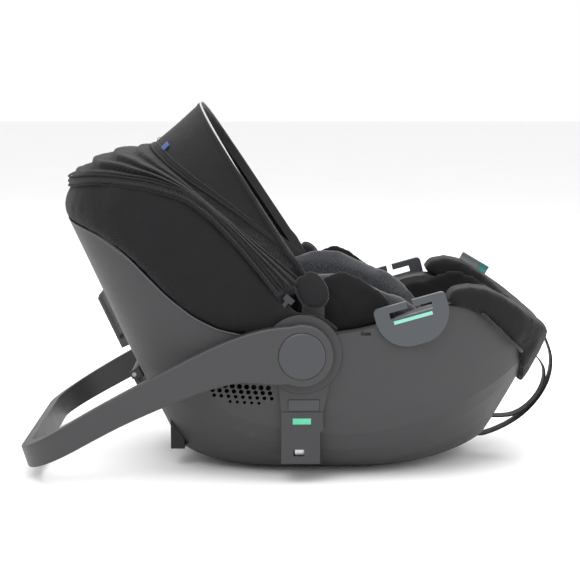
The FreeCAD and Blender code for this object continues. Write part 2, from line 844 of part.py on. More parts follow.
left_button = keep(make_button(), "release_button_left")
mirrored(left_button, "release_button_right")


def make_gear():
    """The left lock gear on the end of the button's stem, with eight teeth."""
    body = new_body("dims.hub_x", "-dims.ear_face + 1.5", "dims.hub_z")
    pad(body, circle_sketch(body, "XZ_Plane", [("0", "0", "dims.gear_round - 2.4")]), "6.5")
    tooth = outline_sketch(body, "XZ_Plane", rectangle("-2", "2", "5", "dims.gear_round"))
    first = pad(body, tooth, "6.5")
    pattern = body.newObject("PartDesign::PolarPattern", "Teeth")
    pattern.Originals = [first]
    pattern.Axis = (tooth, ["N_Axis"])
    pattern.Angle = 360
    pattern.Occurrences = 8
    body.Tip = pattern
    doc.recompute()
    return body


left_gear = keep(make_gear(), "lock_gear_left")
mirrored(left_gear, "lock_gear_right")


def make_spring():
    """The left button's return spring, in the ear behind the gear."""
    length = D.ear_face - 1.5 - POCKET_FLOOR - 2 * D.fit_gap - 2 * SPRING_WIRE
    helix = Part.makeHelix(length / 2.5, length, SPRING_ROUND)
    section = Part.Wire([Part.makeCircle(SPRING_WIRE, VECTOR(SPRING_ROUND, 0, 0), VECTOR(0, 1, 0))])
    coil = Part.Wire(helix).makePipeShell([section], True, True)
    coil.rotate(VECTOR(0, 0, 0), VECTOR(1, 0, 0), 90)
    coil.translate(VECTOR(D.hub_x, -POCKET_FLOOR - D.fit_gap - SPRING_WIRE, D.hub_z))
    return coil


left_spring = keep_shape("button_spring_left", make_spring())
mirrored(left_spring, "button_spring_right")

# ---------------------------------------------------------------------------------------------------------
# Carrying handle: two casings in its own frame, arms along -X from the hub, then turned to its rest angle
# ---------------------------------------------------------------------------------------------------------


def handle_side():
    """The arm's side outline: deep at the hub, arched, and slimmer towards the grip."""
    reach = D.handle_reach
    top = [(8, 38), (-0.088 * reach, 48.5), (-0.28 * reach, 47.5), (-0.48 * reach, 35.5), (-0.74 * reach, 17),
           (-0.895 * reach, 3.5), (-reach, -5)]
    low = [(-reach, -35), (-0.92 * reach, -31.5), (-0.775 * reach, -22), (-0.63 * reach, -12.5),
           (-0.49 * reach, -7), (-0.27 * reach, -5), (-0.21 * reach, -9), (-0.125 * reach, -23), (-26, -30)]
    curves = []
    for run in (top, low):
        curve = Part.BSplineCurve()
        curve.interpolate([VECTOR(x, -REACH / 2, z) for x, z in run])
        curves.append(curve.toShape())
    ends = []
    for (start_x, start_z), (end_x, end_z) in ((top[-1], low[0]), (low[-1], top[0])):
        ends.append(Part.makeLine(VECTOR(start_x, -REACH / 2, start_z), VECTOR(end_x, -REACH / 2, end_z)))
    return Part.Face(Part.Wire([curves[0], ends[0], curves[1], ends[1]])).extrude(VECTOR(0, REACH, 0))


def hoop(face):
    """A block with the handle's plan outline out to one distance from the middle."""
    inset = D.handle_face - face
    block = box((-D.handle_reach + inset, -face, -REACH), (D.ear_round + 10, face, REACH))
    upright = [edge for edge in block.Edges if edge.BoundBox.ZLength > REACH and edge.BoundBox.XMax < 0]
    return block.makeFillet(D.handle_corner - inset, upright)


def make_casing(inner, outer, bore):
    """One casing of the handle between two distances from the middle."""
    disc = cross_rod(D.handle_ring_round, 0, 0, -REACH / 2, REACH / 2)
    profile = handle_side().fuse(disc)
    casing = profile.common(hoop(outer).cut(box((-REACH, -inner, -REACH), (REACH, inner, REACH))
                                            .common(hoop_hollow(inner))))
    return casing.cut(cross_rod(bore, 0, 0, -REACH / 2, REACH / 2))


def hoop_hollow(inner):
    """The hollow inside the handle's hoop, open towards the foot end."""
    hollow = hoop(inner)
    return hollow.fuse(box((0, -inner, -REACH), (REACH, inner, REACH)))


def place_handle(shape):
    """Turns a piece from the handle's frame to its rest place."""
    shape.rotate(VECTOR(0, 0, 0), Y_AXIS, -D.handle_rest_angle)
    shape.translate(VECTOR(D.hub_x, 0, D.hub_z))
    return shape


def soften(casing):
    """Rounds the outer long edges of the handle's outer casing."""
    edges = []
    for edge in casing.Edges:
        middle = edge.valueAt((edge.FirstParameter + edge.LastParameter) / 2)
        outside = abs(middle.y) > D.handle_face - 0.01 or middle.x < -D.handle_reach + 0.01
        near_hub = math.hypot(middle.x, middle.z) < D.button_round + 3
        if outside and not near_hub and edge.Length > 8:
            edges.append(edge)
    return casing.makeFillet(2.5, edges)


outer_casing = make_casing(D.handle_part_line, D.handle_face, D.button_round + 0.5)
inner_casing = make_casing(D.handle_inner_face, D.handle_part_line - D.fit_gap, D.journal_round + D.run_gap)
clear_of_ear = cross_rod(D.ear_round + 2, 0, 0, -plate_face - 0.4, plate_face + 0.4)
inner_casing = inner_casing.cut(clear_of_ear)
keep_shape("handle_outer_casing", place_handle(soften(outer_casing)))
keep_shape("handle_inner_casing", place_handle(inner_casing))

# ---------------------------------------------------------------------------------------------------------
# Adapter sockets, latches and lenses under the hubs
# ---------------------------------------------------------------------------------------------------------

SLOT_LEFT_OFFSET = 10.0
SOCKET_TOP = 137.0
LATCH_LOW = 38.0


def socket_slot():
    """The room for a stroller's or base's post, open at the socket's foot."""
    left = D.socket_left_x + SLOT_LEFT_OFFSET
    right = left + D.socket_slot_length
    outer = D.socket_face - 3
    top = D.socket_foot_z + D.socket_slot_depth
    return box((left, -outer, D.socket_foot_z - 1), (right, -outer + D.socket_slot_width, top))


def latch_room(gap):
    """The channel of the left latch, grown by gap."""
    left = D.socket_left_x + SLOT_LEFT_OFFSET + 8
    inner = -D.latch_tip + D.latch_thick + D.latch_travel
    return box((left - gap, -D.latch_tip - gap, LATCH_LOW - gap),
               (left + D.latch_length + gap, inner + gap, LATCH_LOW + D.latch_height + gap))


def make_socket():
    """The left adapter socket: a strip down the side of the shell with a slot in its foot."""
    left, right, foot = D.socket_left_x, D.socket_right_x, D.socket_foot_z
    outline = [(left - 4, SOCKET_TOP), (right + 13, SOCKET_TOP), (right + 4, 97), (right + 4, 72), (right, 71),
               (right, foot), (left, foot), (left, 97)]
    strip = side_block(outline).common(box((-REACH, -D.socket_face, 0), (REACH, -120, REACH)))
    strip = strip.cut(flank(D.fit_gap)).cut(hub_rod(D.ear_round + D.fit_gap, 150, 230))
    strip = strip.cut(socket_slot()).cut(latch_room(0.25))
    window = box((left + 16, -D.socket_face - 1, LATCH_LOW), (left + 30, -D.socket_face + 4, LATCH_LOW + 9))
    groove = box((left - 5, -D.socket_face - 1, 97.4), (right + 20, -D.socket_face + 1, 98.6))
    seat = box((left + 9, -D.socket_face - 1, 99), (right - 1, -D.socket_face + 2, 114))
    lens = box((left + 14.6, -D.socket_face - 1, 80.7), (right - 11.6, -D.socket_face + 1.2, 89.3))
    return strip.cut([window, groove, seat, lens])


left_socket = keep_shape("adapter_socket_left", make_socket())
mirrored(left_socket, "adapter_socket_right")


def bound_box(label, x, y, z, length, width, height):
    """A plain block bound to the sheet."""
    block = doc.addObject("Part::Box", "block_" + label)
    for name, formula in (("Length", length), ("Width", width), ("Height", height), ("Placement.Base.x", x),
                          ("Placement.Base.y", y), ("Placement.Base.z", z)):
        block.setExpression(name, formula)
    return keep(block, label)


left_cap = bound_box("adapter_cap_left", "dims.socket_left_x + 9.3", "-dims.socket_face - 1.2", "99.3",
                     "dims.socket_right_x - dims.socket_left_x - 10.6", "3.2", "14.4")
mirrored(left_cap, "adapter_cap_right")
left_lens = bound_box("indicator_lens_left", "dims.socket_left_x + 14.9", "-dims.socket_face - 0.3", "81",
                      "dims.socket_right_x - dims.socket_left_x - 26.8", "1.5", "8")
mirrored(left_lens, "indicator_lens_right")
left_latch = bound_box("latch_left", f"dims.socket_left_x + {SLOT_LEFT_OFFSET + 8}", "-dims.latch_tip",
                       f"{LATCH_LOW}", "dims.latch_length", "dims.latch_thick", "dims.latch_height")
mirrored(left_latch, "latch_right")


def make_feet():
    """Two rubber bumpers under the rear corners of the rocker."""
    foot = box((D.rear_base_x + 3, -96, 24), (D.rear_base_x + 22, -58, 70)).cut(hull(-D.fit_gap))
    foot = max(foot.Solids, key=lambda solid: -solid.CenterOfMass.z)
    return Part.makeCompound([foot, mirror_shape(foot)])


keep_shape("rear_feet", make_feet())

# ---------------------------------------------------------------------------------------------------------
# Rear wall furniture: the shoulder-belt hook and the adapter release lever
# ---------------------------------------------------------------------------------------------------------

WALL_LEAN = math.degrees(math.atan2(D.rear_base_x - D.rear_top_x, D.rear_top_z - D.rear_base_z))


def on_rear_wall(shape, height):
    """Moves a piece from the wall's frame (out along -X, up the wall along Z) to a height on the rear wall."""
    shape.rotate(VECTOR(0, 0, 0), Y_AXIS, -WALL_LEAN)
    shape.translate(VECTOR(rear_wall(height), 0, height))
    return shape


def wall_block(points, half_width):
    return side_block(points, False, half_width)


def make_hook():
    """The shoulder-belt hook: a plate joined to the wall at its foot and open at its top."""
    out = 0.4 + D.hook_gap
    profile = [(-0.4, 0), (-out - 4, 0), (-out - 4, D.hook_length), (-out, D.hook_length + 4), (-out, 12),
               (-0.4, 12)]
    hook = wall_block(profile, D.hook_width / 2)
    outer = [edge for edge in hook.Edges if edge.Length < 6 and edge.BoundBox.ZMin > D.hook_length - 1]
    return on_rear_wall(hook.makeFillet(1.2, outer), D.hook_low_z).cut(hull(-D.fit_gap))


keep_shape("rear_belt_hook", make_hook())

LEVER_OUT = 11.0
LEVER_THICK = 6.0


def make_lever_bracket():
    """The plate on the rear wall with an ear at each side for the lever's pin."""
    half = D.lever_width / 2
    plate = wall_block([(-0.4, -8), (-3.4, -8), (-3.4, 8), (-0.4, 8)], half + 6)
    ears = []
    for start in (-half - 6, half + 1):
        ear = side_block([(-0.4, -8), (-LEVER_OUT - 5, -5), (-LEVER_OUT - 5, 5), (-0.4, 8)])
        ears.append(ear.common(box((-100, start, -50), (100, start + 5, 50))))
    bracket = plate.fuse(ears).cut(cross_rod(D.lever_pin_round, -LEVER_OUT, 0, -half - 10, half + 10))
    return on_rear_wall(bracket, D.lever_top_z).cut(hull(-D.fit_gap))


def make_lever():
    """The release lever: a barrel round the pin and a curled paddle that hangs along the wall."""
    half = D.lever_width / 2
    barrel = cross_rod(5.2, -LEVER_OUT, 0, -half, half)
    low = -D.lever_length
    paddle = wall_block([(-LEVER_OUT + 2, 0), (-LEVER_OUT + 2, low + 8), (-LEVER_OUT + 5, low),
                         (-LEVER_OUT - 1, low - 2), (-LEVER_OUT - 4, low + 8), (-LEVER_OUT - 4, 0)], half)
    bore = cross_rod(D.lever_pin_round + D.run_gap, -LEVER_OUT, 0, -half - 1, half + 1)
    return on_rear_wall(barrel.fuse(paddle).cut(bore), D.lever_top_z)


keep_shape("lever_bracket", make_lever_bracket())
keep_shape("release_lever", make_lever())
pin_half = D.lever_width / 2 + 6
lever_pin = cross_rod(D.lever_pin_round, -LEVER_OUT, 0, -pin_half, pin_half)
keep_shape("lever_pin", on_rear_wall(lever_pin, D.lever_top_z))

# ---------------------------------------------------------------------------------------------------------
# Canopy: two bows on one pair of pivots, the cloth between them and the gathered cloth behind
# ---------------------------------------------------------------------------------------------------------

BOW_EYE = 9.0
ARCH_POINTS = 16
ARCH_POWER = 2.8


def arch_wire(round_, half, skip=0.0):
    """A bow's outline in its own plane, out along +Z from the pivots. The turn skipped leaves its feet off."""
    points = []
    for step in range(ARCH_POINTS + 1):
        turn = skip + (math.pi - 2 * skip) * step / ARCH_POINTS
        c, s = math.cos(turn), max(0.0, math.sin(turn))
        out = (abs(c) ** ARCH_POWER + s ** ARCH_POWER) ** (-1 / ARCH_POWER)
        height = round_ * s * out if skip or 0 < step < ARCH_POINTS else 0.0
        points.append(VECTOR(0, half * c * out, height))
    curve = Part.BSplineCurve()
    curve.interpolate(points)
    return Part.Wire([curve.toShape(), Part.makeLine(points[-1], points[0])])


def arch_band(round_, half, thick):
    """The flat face between a bow's outer outline and the same drawn in by its thickness."""
    outer = Part.Face(arch_wire(round_, half))
    return outer.cut(Part.Face(arch_wire(round_ - thick, half - thick)))


def swing(shape, angle):
    """Turns an upright piece to a canopy angle (90 is up, 180 is to the rear) about the pivot."""
    shape.rotate(VECTOR(0, 0, 0), Y_AXIS, 90 - angle)
    shape.translate(VECTOR(D.canopy_x, 0, D.canopy_z))
    return shape


def make_bow(half, round_, angle):
    """A flat bow with an eye at each foot."""
    band = arch_band(round_, half, D.bow_thick)
    band.translate(VECTOR(-D.bow_width / 2, 0, 0))
    bow = band.extrude(VECTOR(D.bow_width, 0, 0))
    eyes = [cross_rod(BOW_EYE, 0, 0, -half, -half + D.bow_thick), cross_rod(BOW_EYE, 0, 0, half - D.bow_thick, half)]
    bow = bow.fuse(eyes)
    return swing(bow.cut(cross_rod(D.pivot_pin_round + D.run_gap, 0, 0, -REACH, REACH)), angle)


front_half = D.canopy_half_width - D.canopy_cloth - 0.5
middle_half = front_half - D.bow_thick - 0.6
front_round = D.canopy_round - D.canopy_cloth - 0.5
keep_shape("canopy_front_bow", make_bow(front_half, front_round, D.front_bow_angle))
middle_round = front_round - 6
keep_shape("canopy_middle_bow", make_bow(middle_half, middle_round, D.middle_bow_angle))


def make_front_cloth():
    """The cloth from the front bow back to the middle bow."""
    band = arch_band(D.canopy_round, D.canopy_half_width, D.canopy_cloth)
    start = D.front_bow_angle - 2
    cloth = band.revolve(VECTOR(0, 0, 0), Y_AXIS, -(D.middle_bow_angle - start))
    return swing(cloth.cut(cross_rod(15, 0, 0, -REACH, REACH)), start)


keep_shape("canopy_front_cloth", make_front_cloth())

# angle and reach of the gathered cloth behind the middle bow
GATHER = ((0.15, 0), (5.8, 28), (10, 53), (14.6, 58))


def make_rear_cloth():
    """The gathered cloth from the middle bow back to the zip."""
    skins = []
    for thick, skip in ((0, 0.25), (D.canopy_cloth, 0.2)):
        half = D.canopy_half_width - 8 - thick
        wires = []
        for turn, grow in GATHER:
            wire = arch_wire(D.canopy_round + grow - thick, half, skip)
            wires.append(swing(wire, D.middle_bow_angle + turn))
        skins.append(Part.makeLoft(wires, True, True))
    cloth = skins[0].cut(skins[1])
    zip_line = above_line(raised(ZIP, 1.0) + [(10, 230), (60, 160)], False)
    grown = D.fit_gap
    room = arch_band(middle_round + grown, middle_half + grown, D.bow_thick + 2 * grown)
    room.translate(VECTOR(-D.bow_width / 2 - grown, 0, 0))
    room = room.extrude(VECTOR(D.bow_width + 2 * grown, 0, 0))
    return cloth.common(zip_line).cut(swing(room, D.middle_bow_angle))


keep_shape("canopy_rear_cloth", make_rear_cloth())


def make_bracket():
    """The left bracket that carries the canopy's pivot above the rim."""
    bracket = bracket_room(0)
    eye = cross_rod(D.pivot_pin_round, D.canopy_x, D.canopy_z, -REACH / 2, REACH / 2)
    return bracket.cut(eye).cut(hull(0).cut(hull(D.shell_wall)))


left_bracket = keep_shape("canopy_bracket_left", make_bracket())
mirrored(left_bracket, "canopy_bracket_right")
pin = cross_rod(D.pivot_pin_round, D.canopy_x, D.canopy_z, -182.6, -middle_half + D.bow_thick + 0.3)
keep_shape("canopy_pins", Part.makeCompound([pin, mirror_shape(pin)]))

# ---------------------------------------------------------------------------------------------------------
# Buckle, adjuster and small trim
# ---------------------------------------------------------------------------------------------------------

BUCKLE_START = 64.0
buckle_floor = seat_height(BUCKLE_START + D.buckle_length, crotch_far) + D.fit_gap
TRAVEL = 3.0


def make_buckle():
    """The buckle's housing, with a well for its button and a slot for the tongues."""
    end, half, top = BUCKLE_START + D.buckle_length, D.buckle_width / 2, buckle_floor + D.buckle_height
    housing = box((BUCKLE_START, -half, buckle_floor), (end, half, top))
    upright = [edge for edge in housing.Edges if edge.BoundBox.ZLength > 1]
    housing = housing.makeFillet(7, upright)
    rims = [edge for edge in housing.Edges if edge.BoundBox.ZMin > top - 0.1]
    housing = housing.makeFillet(2.5, rims)
    well = box((BUCKLE_START + 16, -9.3, top - 8), (BUCKLE_START + 38.6, 9.3, top + 1))
    slot = box((BUCKLE_START - 1, -20, top - 15), (BUCKLE_START + 14, 20, top - 11))
    return housing.cut([well, slot])


keep_shape("buckle_housing", make_buckle())
buckle_top = buckle_floor + D.buckle_height
keep_shape("buckle_button", box((BUCKLE_START + 16.3, -9, buckle_top - 8 + TRAVEL + 0.3),
                                (BUCKLE_START + 38.3, 9, buckle_top + 0.8)))


def make_tongue():
    """The left buckle tongue: a loop at the end of the shoulder strap and a blade in the buckle's slot."""
    low = buckle_top - 14.5
    blade = box((BUCKLE_START - 4, -19, low), (BUCKLE_START + 12, -2, low + 3))
    loop = box((BUCKLE_START - 17, -40, low - 2), (BUCKLE_START - 3.5, -2, low + 5))
    eye = box((BUCKLE_START - 13, -36, low - 3), (BUCKLE_START - 8, -6, low + 6))
    return blade.fuse(loop).cut(eye)


left_tongue = keep_shape("buckle_tongue_left", make_tongue())
mirrored(left_tongue, "buckle_tongue_right")

ADJUSTER_START, ADJUSTER_END = 222.0, 262.0
adjuster_half = D.adjuster_width / 2
adjuster_room = box((ADJUSTER_START, -adjuster_half, 0), (ADJUSTER_END, adjuster_half, REACH))
well_room = box((ADJUSTER_START + 8, -12.3, 0), (ADJUSTER_END - 8, 12.3, REACH))
key_room = box((ADJUSTER_START + 8.5, -11.8, 0), (ADJUSTER_END - 10.5, 11.8, REACH))
adjuster = seat_layer(INSERT_NEAR, INSERT_NEAR + 12).common(adjuster_room)
adjuster = adjuster.cut(seat_layer(INSERT_NEAR + 6, INSERT_NEAR + 14).common(well_room))
keep_shape("adjuster_housing", adjuster)
keep_shape("adjuster_button", seat_layer(INSERT_NEAR + 6.3 + TRAVEL, INSERT_NEAR + 14).common(key_room))

SLIDER_X, SLIDER_Z, SLIDER_FACE = -3.0, 246.0, 203.5


def make_slider():
    """The zip's slider and its pull, at the front end of the left zip."""
    body = box((-7, -SLIDER_FACE, -4), (7, -SLIDER_FACE + 3, 4))
    pull = box((-2.5, -SLIDER_FACE + 0.6, -18), (2.5, -SLIDER_FACE + 1.8, -3))
    slider = body.fuse(pull)
    slider.rotate(VECTOR(0, 0, 0), Y_AXIS, 40)
    slider.translate(VECTOR(SLIDER_X, 0, SLIDER_Z))
    return slider


keep_shape("zip_slider", make_slider())

TAB_X, TAB_Y, TAB_Z = 256.0, 158.0, 258.3


def make_tab():
    """A plain sewn tab that stands on the front roll."""
    tab = box((0, -0.6, 0), (46, 0.6, 13))
    tab.rotate(VECTOR(0, 0, 0), Y_AXIS, 30.5)
    tab.translate(VECTOR(TAB_X, TAB_Y, TAB_Z))
    return tab


keep_shape("label_tab", make_tab())

# ---------------------------------------------------------------------------------------------------------
# The adjuster webbing: two free strands in front of the foot end, flat, on straight runs and tangent arcs
# ---------------------------------------------------------------------------------------------------------

ARC_SHARE = 0.45
OUTER_ROUTE = ((361.2, 168), (371, 147), (373, 124), (368, 101), (356, 79), (338, 58), (315, 41), (290, 29),
               (266, 22), (250.5, 29.7))
INNER_ROUTE = ((346.2, 142), (360, 129), (364, 110), (359, 90), (347, 72), (331, 58), (311, 50), (285.6, 51))


def route_edges(route, label):
    """Straight runs joined by tangent arcs, each as large as its two runs allow."""
    spots = [VECTOR(x, 0, z) for x, z in route]
    edges, start = [], spots[0]
    for before, corner, after in zip(spots, spots[1:], spots[2:]):
        into, out = corner - before, after - corner
        turn = into.getAngle(out)
        cut_back = ARC_SHARE * min(into.Length, out.Length)
        radius = cut_back / math.tan(turn / 2)
        first = corner - into * (cut_back / into.Length)
        last = corner + out * (cut_back / out.Length)
        inward = (last - corner).normalize() + (first - corner).normalize()
        middle = corner + inward.normalize() * (radius / math.cos(turn / 2) - radius)
        edges += [Part.makeLine(start, first), Part.Arc(first, middle, last).toShape()]
        start = last
        print(f"{label}: radius {radius:.1f} at {corner.x:.0f}, {corner.z:.0f}")
    edges.append(Part.makeLine(start, spots[-1]))
    return edges


def make_webbing(route, label):
    """A flat strap along a route."""
    path = Part.Wire(route_edges(route, label))
    start = path.Edges[0].valueAt(path.Edges[0].FirstParameter)
    along = VECTOR(route[1][0] - route[0][0], 0, route[1][1] - route[0][1]).normalize()
    normal = VECTOR(-along.z, 0, along.x) * (D.webbing_thick / 2)
    half = VECTOR(0, D.webbing_width / 2, 0)
    corners = [start + normal - half, start + normal + half, start - normal + half, start - normal - half]
    section = Part.Wire([Part.makeLine(a, b) for a, b in zip(corners, corners[1:] + corners[:1])])
    strap = path.makePipeShell([section], True, False)
    expected = D.webbing_width * D.webbing_thick * path.Length
    print(f"{label}: length {path.Length:.1f}, volume over section x length {strap.Volume / expected:.4f}")
    return strap


keep_shape("adjuster_webbing_outer", make_webbing(OUTER_ROUTE, "outer strand"))
keep_shape("adjuster_webbing_inner", make_webbing(INNER_ROUTE, "inner strand"))

# ---------------------------------------------------------------------------------------------------------
# Check and export
# ---------------------------------------------------------------------------------------------------------

doc.recompute()
for item in doc.Objects:
    if "Invalid" in item.State or "Error" in item.State:
        raise ValueError(f"{item.Label} failed: {item.State}")
for item in SUB_PARTS:
    if item.Shape.isNull() or not item.Shape.isValid():
        raise ValueError(f"{item.Label} has no valid shape")
for item in SUB_PARTS:
    item.Shape.exportStep(f"parts/{item.Label}.step")
print(f"{len(SUB_PARTS)} sub-parts written")
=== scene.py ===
import sys
import logging
import math
from dataclasses import dataclass, field
from enum import Enum

import bmesh
import bpy
import numpy as np
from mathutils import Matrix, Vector, noise
from mathutils.bvhtree import BVHTree


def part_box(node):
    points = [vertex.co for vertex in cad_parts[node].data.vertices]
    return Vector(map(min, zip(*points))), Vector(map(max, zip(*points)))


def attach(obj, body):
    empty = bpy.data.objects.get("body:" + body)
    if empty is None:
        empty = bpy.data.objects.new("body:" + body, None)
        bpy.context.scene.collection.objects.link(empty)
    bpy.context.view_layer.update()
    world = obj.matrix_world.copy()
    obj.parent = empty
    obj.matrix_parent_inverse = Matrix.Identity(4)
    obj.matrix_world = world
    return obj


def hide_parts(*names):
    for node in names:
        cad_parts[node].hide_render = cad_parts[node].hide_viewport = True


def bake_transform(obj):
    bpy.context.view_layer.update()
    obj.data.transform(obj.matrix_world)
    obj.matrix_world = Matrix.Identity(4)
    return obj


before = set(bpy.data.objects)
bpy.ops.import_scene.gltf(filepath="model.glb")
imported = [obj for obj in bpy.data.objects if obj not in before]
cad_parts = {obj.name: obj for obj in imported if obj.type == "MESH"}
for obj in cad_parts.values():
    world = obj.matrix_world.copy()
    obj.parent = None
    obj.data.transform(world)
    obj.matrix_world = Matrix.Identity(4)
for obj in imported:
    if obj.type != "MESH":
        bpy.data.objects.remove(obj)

logging.basicConfig(level=logging.INFO, format="%(relativeCreated)d ms %(message)s", stream=sys.stdout)
LOG = logging.getLogger("infant_car_seat")

MM = 0.001
Point = tuple[float, float, float]
Colour = tuple[float, float, float]

PIVOT = Vector((0.029, 0.0, 0.251))
# X and Z of the zip and of the shell's edge, in mm
ZIP_LINE = (
    (-300, 396), (-255, 405), (-185, 398), (-138, 385),
    (-106, 362), (-67, 322), (-38, 287), (-14, 257),
)
RIM_LINE = (
    (-303, 339), (-260, 325), (-216, 297), (-164, 247),
    (-129, 221), (-98, 206), (-60, 198),
)
# rays towards a cover's side start this far from the middle
CAST_FROM = 0.30
CLOTH_FRAMES = 12
CLOTH_MASS = 0.3
CLOTH_PRESSURE = 4.0
CLOTH_STIFFNESS = 12


class Body(str, Enum):
    """The moving bodies that soft and decorative pieces ride on."""

    SEAT = "seat"
    CANOPY = "canopy"


class Slot(str, Enum):
    """The record's material slots used by new pieces."""

    COVER = "cover_fabric"
    CANOPY = "canopy_fabric"
    MESH = "gather_mesh"
    MELANGE = "melange_fabric"
    PAD = "pad_fabric"
    WEBBING = "webbing"
    TAB = "tab_fabric"
    ZIP = "zip_metal"
    SHELL = "shell_plastic"


class Nodes:
    """A material's node tree, written one node at a time."""

    def __init__(self, name: str) -> None:
        """Starts an empty material.

        Args:
            name: the material's name.
        """
        self.material = bpy.data.materials.new(name)
        self.material.use_nodes = True
        self.tree = self.material.node_tree
        self.tree.nodes.clear()
        self.shader = self.add("ShaderNodeBsdfPrincipled")
        output = self.add("ShaderNodeOutputMaterial")
        self.link(self.shader.outputs["BSDF"], output.inputs["Surface"])
        self.place = self.add("ShaderNodeTexCoord").outputs["Object"]

    def add(self, kind: str, **values: object) -> bpy.types.Node:
        """Adds a node and sets its properties or its sockets.

        Args:
            kind: Blender's node type.
            values: property or socket values by name.

        Returns:
            The new node.
        """
        node = self.tree.nodes.new(kind)
        for key, value in values.items():
            socket = node.inputs.get(key.replace("_", " ")) if key[0].isupper() else None
            if socket is not None:
                socket.default_value = value
            else:
                setattr(node, key, value)
        return node

    def link(self, source: bpy.types.NodeSocket, target: bpy.types.NodeSocket) -> None:
        """Joins two sockets."""
        self.tree.links.new(source, target)

    def noise(self, scale: float, detail: float = 3.0,
              stretch: Point = (1, 1, 1)) -> bpy.types.NodeSocket:
        """A noise over the object's own place.

        Args:
            scale: how many lumps to a metre.
            detail: octaves of finer noise.
            stretch: how the pattern is scaled along each axis.

        Returns:
            The factor socket.
        """
        mapping = self.add("ShaderNodeMapping", Scale=stretch)
        self.link(self.place, mapping.inputs["Vector"])
        node = self.add("ShaderNodeTexNoise", Scale=scale, Detail=detail)
        self.link(mapping.outputs["Vector"], node.inputs["Vector"])
        return node.outputs["Fac"]

    def threads(self, pitch: float, turn: Point) -> bpy.types.NodeSocket:
        """Parallel threads of a cloth, as a wave along a turned axis.

        Args:
            pitch: the distance between threads, in metres.
            turn: the turn of the pattern about each axis, in radians.

        Returns:
            The factor socket.
        """
        mapping = self.add("ShaderNodeMapping", Rotation=turn)
        self.link(self.place, mapping.inputs["Vector"])
        node = self.add("ShaderNodeTexWave", wave_type="BANDS", bands_direction="X",
                        Scale=math.tau / 20 / pitch, Distortion=0.6, Detail=1.0)
        self.link(mapping.outputs["Vector"], node.inputs["Vector"])
        return node.outputs["Fac"]

    def maths(self, way: str, first: object, second: object) -> bpy.types.NodeSocket:
        """A sum between two sockets or numbers.

        Args:
            way: Blender's operation name.
            first: a socket or a number.
            second: a socket or a number.

        Returns:
            The result's socket.
        """
        node = self.add("ShaderNodeMath", operation=way)
        for place, value in enumerate((first, second)):
            if isinstance(value, (int, float)):
                node.inputs[place].default_value = value
            else:
                self.link(value, node.inputs[place])
        return node.outputs["Value"]

    def ramp(self, factor: bpy.types.NodeSocket,
             stops: list[tuple[float, Colour]]) -> bpy.types.NodeSocket:
        """Colours along a factor.

        Args:
            factor: the socket that picks the colour.
            stops: pairs of place and colour.

        Returns:
            The colour socket.
        """
        node = self.add("ShaderNodeValToRGB")
        while len(node.color_ramp.elements) < len(stops):
            node.color_ramp.elements.new(0.5)
        for element, (place, colour) in zip(node.color_ramp.elements, stops):
            element.position = place
            element.color = (*colour, 1.0)
        self.link(factor, node.inputs["Fac"])
        return node.outputs["Color"]

    def mix(self, factor: bpy.types.NodeSocket, first: object, second: object) -> bpy.types.NodeSocket:
        """Mixes two colours.

        Args:
            factor: the socket of the second colour's share.
            first: a colour or a colour socket.
            second: a colour or a colour socket.

        Returns:
            The colour socket.
        """
        node = self.add("ShaderNodeMix", data_type="RGBA")
        self.link(factor, node.inputs[0])
        for place, value in ((6, first), (7, second)):
            if isinstance(value, tuple):
                node.inputs[place].default_value = (*value, 1.0)
            else:
                self.link(value, node.inputs[place])
        return node.outputs[2]

    def span(self, factor: bpy.types.NodeSocket, low: float, high: float) -> bpy.types.NodeSocket:
        """Maps a factor of 0 to 1 on to a range of values."""
        node = self.add("ShaderNodeMapRange", **{"To_Min": low, "To_Max": high})
        self.link(factor, node.inputs["Value"])
        return node.outputs["Result"]

    def bumps(self, layers: list[tuple[bpy.types.NodeSocket, float, float]],
              normal: bpy.types.NodeSocket | None = None) -> None:
        """Stacks bumps and ends at the shader's normal.

        Args:
            layers: height socket, depth in metres and strength of each bump.
            normal: the normal to start from.
        """
        for height, depth, strength in layers:
            node = self.add("ShaderNodeBump", Strength=strength, Distance=depth)
            self.link(height, node.inputs["Height"])
            if normal is not None:
                self.link(normal, node.inputs["Normal"])
            normal = node.outputs["Normal"]
        self.link(normal, self.shader.inputs["Normal"])


def shade(colour: Colour, share: float) -> Colour:
    """A colour made lighter or darker by a share."""
    return tuple(min(1.0, part * share) for part in colour)


